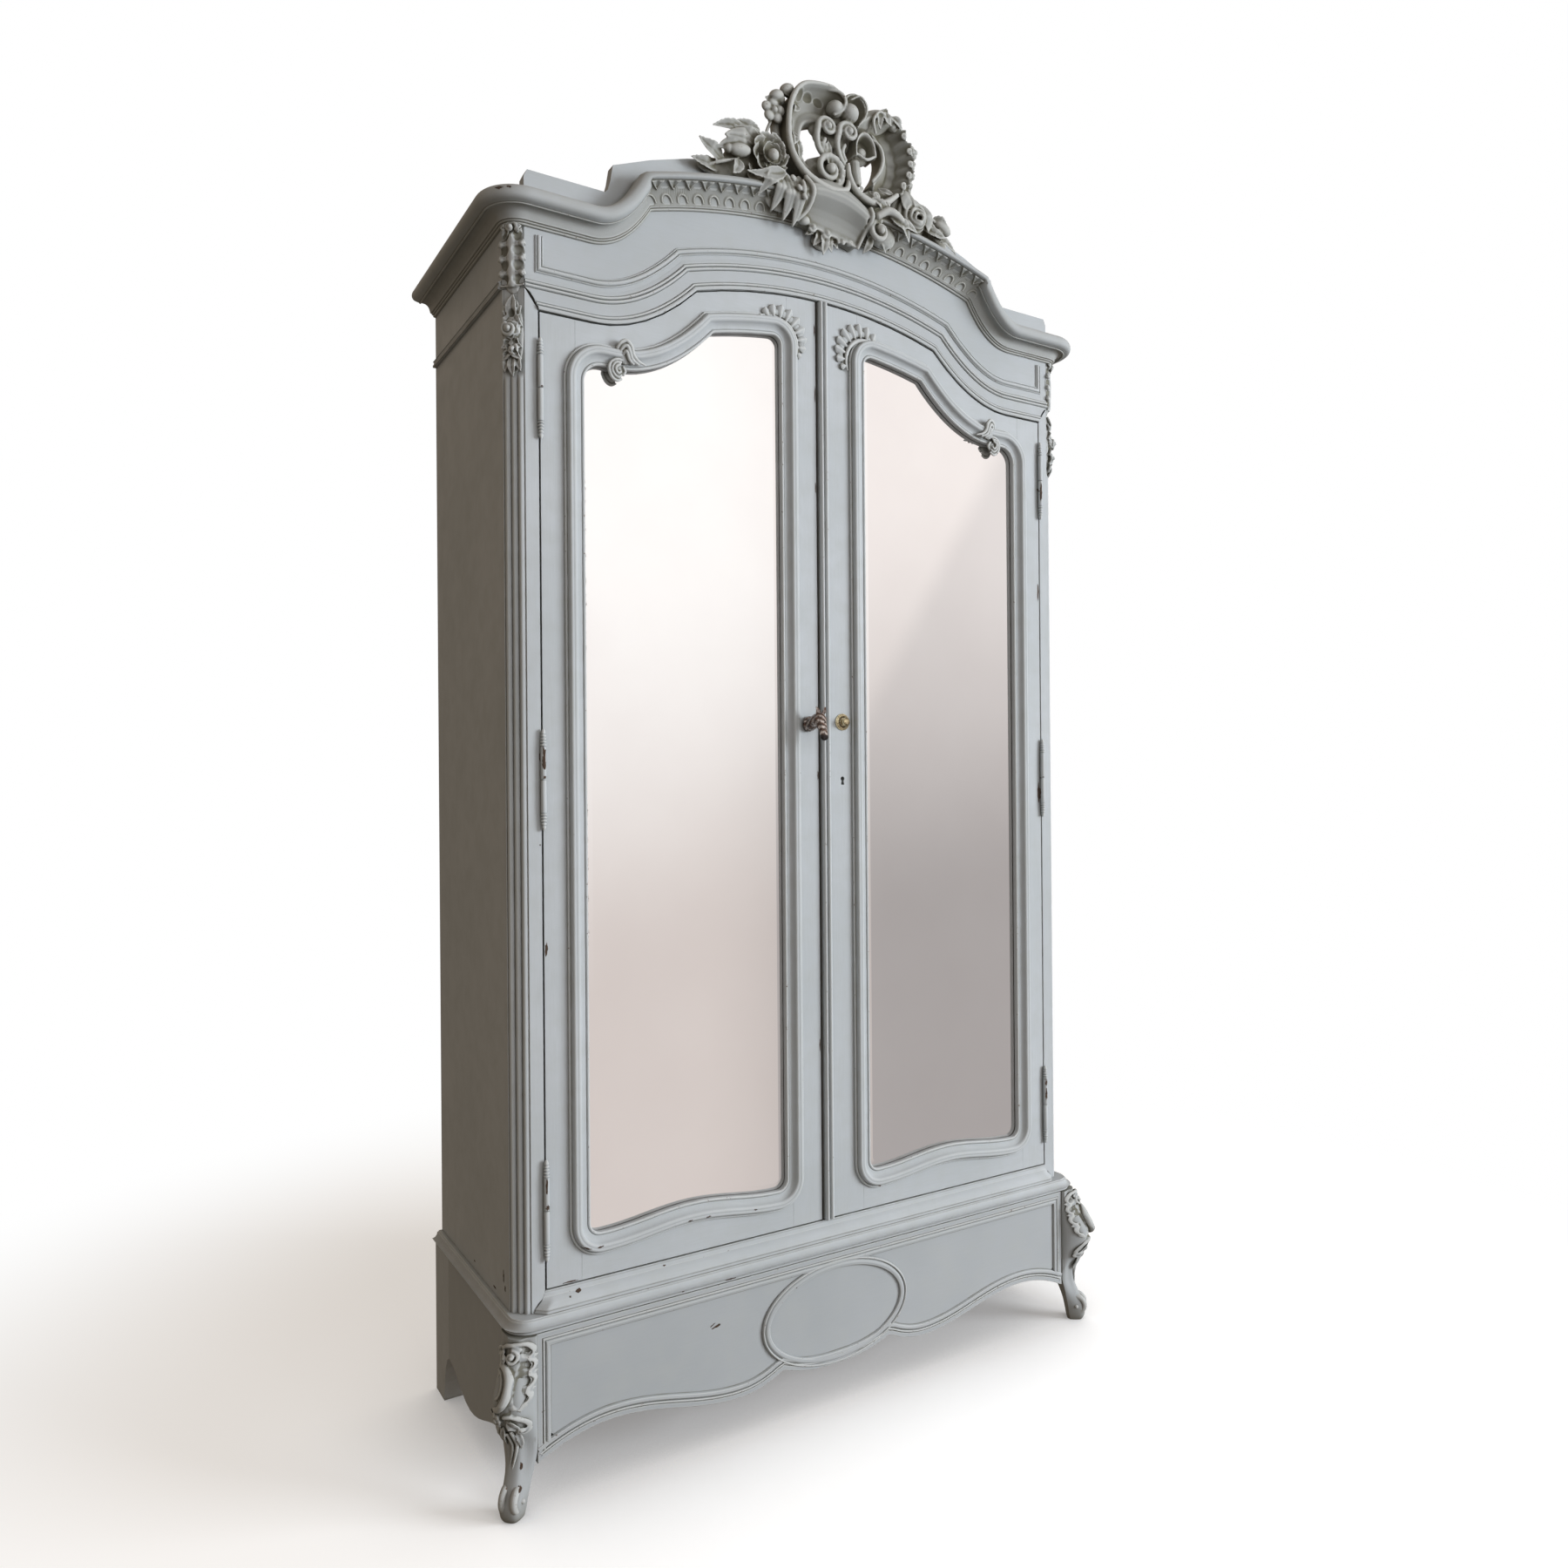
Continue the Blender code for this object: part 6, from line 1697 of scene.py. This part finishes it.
def build_hinges(paint):
    """Three barrel hinges to a door. The upper half of each goes with the door."""
    for side, word in SIDES:
        for number, height in enumerate(HINGE_HEIGHTS, 1):
            for kind, body in (("sleeve", f"{word}_door"), ("pin", "carcass")):
                centre = (side * HINGE_U, FACE_Y + HINGE_DEPTH, height)
                name = f"hinge_{kind}_{word}_{number}"
                shape = hinge_half(centre, side, kind == "sleeve")
                shape.piece(f"{name}_turned", paint, body, "painted_iron", [name], crease=50)


def build_brass_knob(brass):
    """A turned ball on a beaded rose."""
    x, z = KNOB_RIGHT
    # from the middle of its front, over the ball and the neck, to the rim of the rose
    profile = [
        (0.0, 0.02), (0.003, 0.0198), (0.006, 0.0182), (0.0082, 0.0155), (0.0088, 0.0128),
        (0.0078, 0.0102), (0.0058, 0.0084), (0.0052, 0.007), (0.0066, 0.0064), (0.0092, 0.0062),
        (0.01, 0.0054), (0.0104, 0.0044), (0.0124, 0.0046), (0.0138, 0.0042), (0.0146, 0.0034),
        (0.015, 0.0024), (0.0162, 0.0022), (0.0166, 0.0014), (0.0165, 0.0003), (0.0, 0.0003),
    ]
    radii = [p[0] for p in profile]
    shade = np.interp(radii, (0.0, 0.0086, 0.0092, 0.0104, 0.0112, 0.02), (0.1, 0.0, -1.0, -1.0, 0.3, 0.3))
    shape = turned(Shape(), profile, (x, FACE_Y, z), "y", 40, shade)
    bead = [(0.0, 0.0011), (0.0008, 0.0008), (0.0011, 0.0), (0.0011, -0.001)]
    beads = 26
    for k in range(beads):
        bead_x, bead_z, y = polar(x, z, 360 * k / beads, 0.0116, FACE_Y - 0.005)
        turned(shape, bead, (bead_x, y, bead_z), "y", 8)
    shape.piece("brass_pull", brass, "right_door", "brass", ["brass_knob"], crease=50)


def build_animal_knob(bronze):
    """A zebra's head on a round foot: neck, muzzle, ears, eyes, nostrils and mane."""
    x, z = KNOB_LEFT[0] * 1000, KNOB_LEFT[1] * 1000
    c = Carving()
    c.ball((x, z, 5), (15, 15, 6))
    c.ball((x, z, 10), (12, 12, 8))
    c.tube([(x, z - 2, 8), (x, z + 3, 22), (x, z + 7, 34)], (12.5, 12, 12.5), sides=14)
    c.ball((x, z + 8, 40), (12, 13, 13))
    muzzle = [(x, z + 8, 40), (x, z - 4, 47), (x, z - 17, 53), (x, z - 28, 56)]
    c.tube(muzzle, (12.5, 10.5, 8.0, 7.6), sides=14)
    c.ball((x, z - 28, 56), (8.2, 6.5, 7))
    for s in (-1, 1):
        c.leaf((x + s * 7, z + 15, 42), (x + s * 11, z + 31, 46), 9, bend=s * 1.5, lift=1, cup=0.6, thick=2.6)
        c.ball((x + s * 8.6, z + 5, 48), (2.6, 2.4, 2.4))
        c.ball((x + s * 8.0, z + 9, 48), (3.6, 1.6, 2.2), s * 12)
        c.ball((x + s * 3.6, z - 31, 61), (1.7, 1.4, 1.4))
    for k in range(6):
        c.ball((x, z + 21 - 3.4 * k * 0.6, 40 - 5.2 * k), (2.2, 3.6, 3.2))
    c.piece("animal_pull", bronze, 0.75, "left_door", "dark_bronze", ["zebra_knob"])


# ---- flaked paint -------------------------------------------------------------------------------
CHIPS = (
    # body, x, z, half width, half height, all in metres, and turn in degrees
    ("left_door", -0.5812, 1.25, 0.0046, 0.022, 0), ("left_door", -0.5765, 0.9265, 0.0028, 0.011, 0),
    ("left_door", -0.58, 1.219, 0.003, 0.0035, 0), ("left_door", -0.5818, 0.529, 0.0018, 0.015, 0),
    ("left_door", -0.58, 0.491, 0.0038, 0.005, 0), ("left_door", -0.5795, 1.8815, 0.003, 0.0018, 0),
    ("right_door", 0.579, 1.216, 0.0026, 0.0022, 0), ("right_door", 0.5805, 0.537, 0.0036, 0.0095, 0),
    ("carcass", -0.5858, 1.1045, 0.001, 0.0016, 0), ("left_door", -0.5122, 0.4081, 0.009, 0.002, -20),
    ("left_door", -0.4866, 0.4054, 0.006, 0.0016, 4), ("left_door", -0.3129, 0.4137, 0.0045, 0.0018, 10),
    ("left_door", -0.2753, 0.4139, 0.005, 0.0018, 12), ("left_door", -0.1753, 0.4063, 0.004, 0.0014, -6),
    ("left_door", -0.5369, 0.353, 0.013, 0.0014, 0), ("carcass", -0.5247, 0.3368, 0.0055, 0.0032, 8),
    ("carcass", -0.542, 0.332, 0.0022, 0.0014, 0), ("carcass", -0.3608, 0.3409, 0.003, 0.0014, 0),
    ("carcass", -0.2378, 0.2965, 0.01, 0.0014, 0), ("carcass", -0.3359, 0.2975, 0.003, 0.0014, 0),
    ("right_door", 0.5785, 1.8533, 0.0034, 0.019, 0), ("right_door", 0.5765, 1.633, 0.0022, 0.021, 0),
    ("right_door", 0.5735, 1.1818, 0.004, 0.022, 0), ("right_door", 0.5805, 0.508, 0.0036, 0.012, 0),
    ("right_door", 0.118, 0.393, 0.005, 0.0016, -24), ("left_door", -0.0195, 2.096, 0.0014, 0.011, 0),
    ("left_door", -0.0195, 1.97, 0.0012, 0.016, 0), ("left_door", -0.0192, 1.2219, 0.0014, 0.009, 0),
    ("left_door", -0.0195, 1.7855, 0.0012, 0.01, 0), ("left_door", -0.0195, 0.6932, 0.0012, 0.012, 0),
    ("drawer", -0.265, 0.215, 0.01, 0.0022, 14), ("drawer", -0.274, 0.219, 0.006, 0.001, 30),
    ("drawer", -0.0951, 0.2457, 0.0013, 0.0013, 0), ("drawer", -0.0852, 0.2449, 0.0013, 0.0013, 0),
    ("carcass", -0.657, 2.19, 0.006, 0.003, 0), ("carcass", -0.643, 2.1915, 0.004, 0.0022, 0),
    ("carcass", -0.636, 0.083, 0.0028, 0.005, 0), ("carcass", -0.642, 0.052, 0.0035, 0.006, 0),
)
# depth, z, half width, half height; all on the carcass's left flank
FLANK_CHIPS = (
    (0.06, 0.3629, 0.003, 0.011), (0.052, 0.345, 0.003, 0.006), (0.11, 0.326, 0.008, 0.002),
    (0.23, 0.33, 0.005, 0.0016),
)


def build_chips(material):
    """Thin irregular patches that lie on whatever surface is met from the front, or from the left."""
    scene = bpy.context.scene
    graph = bpy.context.evaluated_depsgraph_get()
    shapes = {}
    rng = np.random.default_rng(7)
    jobs = [(body, (x, z), (w, h), turn, False) for body, x, z, w, h, turn in CHIPS]
    jobs += [("carcass", (d, z), (w, h), 0, True) for d, z, w, h in FLANK_CHIPS]
    steps = 16
    for body, centre, size, turn, flank in jobs:
        way = Vector((1, 0, 0)) if flank else Vector((0, 1, 0))
        c, s = math.cos(math.radians(turn)), math.sin(math.radians(turn))
        ragged = 1 + rng.uniform(-0.38, 0.25, steps)
        rows = []
        for share in (0.0, 0.5, 1.0):
            for k in range(steps if share else 1):
                a = 2 * math.pi * k / steps
                reach = share * ragged[k]
                i, j = reach * size[0] * math.cos(a), reach * size[1] * math.sin(a)
                i, j = i * c - j * s, i * s + j * c
                if flank:
                    origin = Vector((-1.0, FACE_Y + centre[0] + i, centre[1] + j))
                else:
                    origin = Vector((centre[0] + i, -2.0, centre[1] + j))
                hit, place = scene.ray_cast(graph, origin, way)[:2]
                if hit:
                    rows.append(tuple(place - way * 0.00025))
        if len(rows) != 2 * steps + 1:
            continue
        faces = []
        for k in range(steps):
            n = (k + 1) % steps
            faces.append((0, 1 + k, 1 + n))
            faces.append((1 + k, 1 + steps + k, 1 + steps + n, 1 + n))
        p, q, r = (np.array(rows[i]) for i in faces[0])
        if np.cross(q - p, r - p) @ np.array(way) > 0:
            faces = [f[::-1] for f in faces]
        shapes.setdefault(body, Shape()).add(rows, faces)
    for body, shape in shapes.items():
        shape.piece(f"{body}_paint_chips", material, body)


# ---- the whole ----------------------------------------------------------------------------------
def finish_cad_nodes(upright, level, frieze, leg, others):
    """Gives each CAD node the finish of its record slot. The painted ones differ in their brush strokes, and
    the frieze and side aprons take darker copies of the paint, painted shade.
    """
    for name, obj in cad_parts.items():
        if not obj.data.materials:
            continue
        slot = obj.data.materials[0].name.split(".")[0]
        finish = others.get(slot, upright)
        if finish is upright and any(word in name for word in ("top_rail", "bottom_rail")):
            finish = level
        if name == "crown_frieze":
            finish = frieze
        if name.startswith("side_apron"):
            finish = leg
        for material_slot in obj.material_slots:
            material_slot.material = finish


def main():
    make_camera()
    make_studio()
    upright = paint_material("paint_upright")
    level = paint_material("paint_level", ACROSS)
    # the carved, crest and crown paints lay a brown coat over their carving, partly real soiling and partly
    # painted shade; the crest and crown also lay a share of painted shade over everything
    carved = paint_material("paint_carved", ANY_WAY, grime_and_shade_amount=0.95, film_and_shade=0.55)
    crest = paint_material("paint_crest_shaded", ANY_WAY, grime_and_shade_amount=0.95, film_and_shade=0.95, least=0.48)
    crown = paint_material("paint_crown_shaded", ACROSS, grime_and_shade_amount=0.9, film_and_shade=0.9, least=0.2)
    # darker copies of the paint for the frieze, drawer front, legs and side aprons: painted shade
    frieze = paint_material("paint_frieze_shaded", ACROSS, painted_shade_factor=0.93)
    drawer = paint_material("paint_drawer_shaded", ACROSS, painted_shade_factor=0.84)
    leg = paint_material("paint_leg", grime_and_shade_amount=0.95, film_and_shade=0.5, least=0.15, painted_shade_factor=0.84)
    hinge_paint = paint_material("paint_on_iron", grime_and_shade_amount=0.35)
    wood = wood_material("old_pine", rgb(0.42, 0.27, 0.15), rgb(0.24, 0.135, 0.07), (0.08, 1.0, 1.0))
    glass = mirror_material()
    iron = metal_material("painted_iron", rgb(0.36, 0.39, 0.385), rgb(0.28, 0.3, 0.29), 0.0, 0.42)
    brass = metal_material("old_brass", rgb(0.74, 0.64, 0.42), rgb(0.36, 0.3, 0.18), 1.0, 0.2)
    bronze = striped_bronze_material()

    others = {
        "bare_wood": wood, "mirror_glass": glass, "painted_iron": iron, "brass": brass, "dark_bronze": bronze,
    }
    finish_cad_nodes(upright, level, frieze, leg, others)

    build_surrounds(upright)
    build_mirrors(glass)
    build_cornice(crown)
    build_frieze(frieze)
    build_side_strips(level)
    build_posts(upright)
    build_sill(level)
    build_base_moulding(level)
    build_astragal(upright)
    build_drawer_front(drawer)
    build_crest(crest)
    build_cove_carving(crest)
    build_crown_carvings(crest)
    for side, word in SIDES:
        corner_block(side).piece(f"{word}_corner_block", carved, 1.1)
        post_drop(side).piece(f"{word}_post_drop", carved, 1.1)
    build_legs(leg)
    build_door_ornaments(carved)
    build_hinges(hinge_paint)
    build_brass_knob(brass)
    build_animal_knob(bronze)
    build_chips(bare_chip_material())


main()
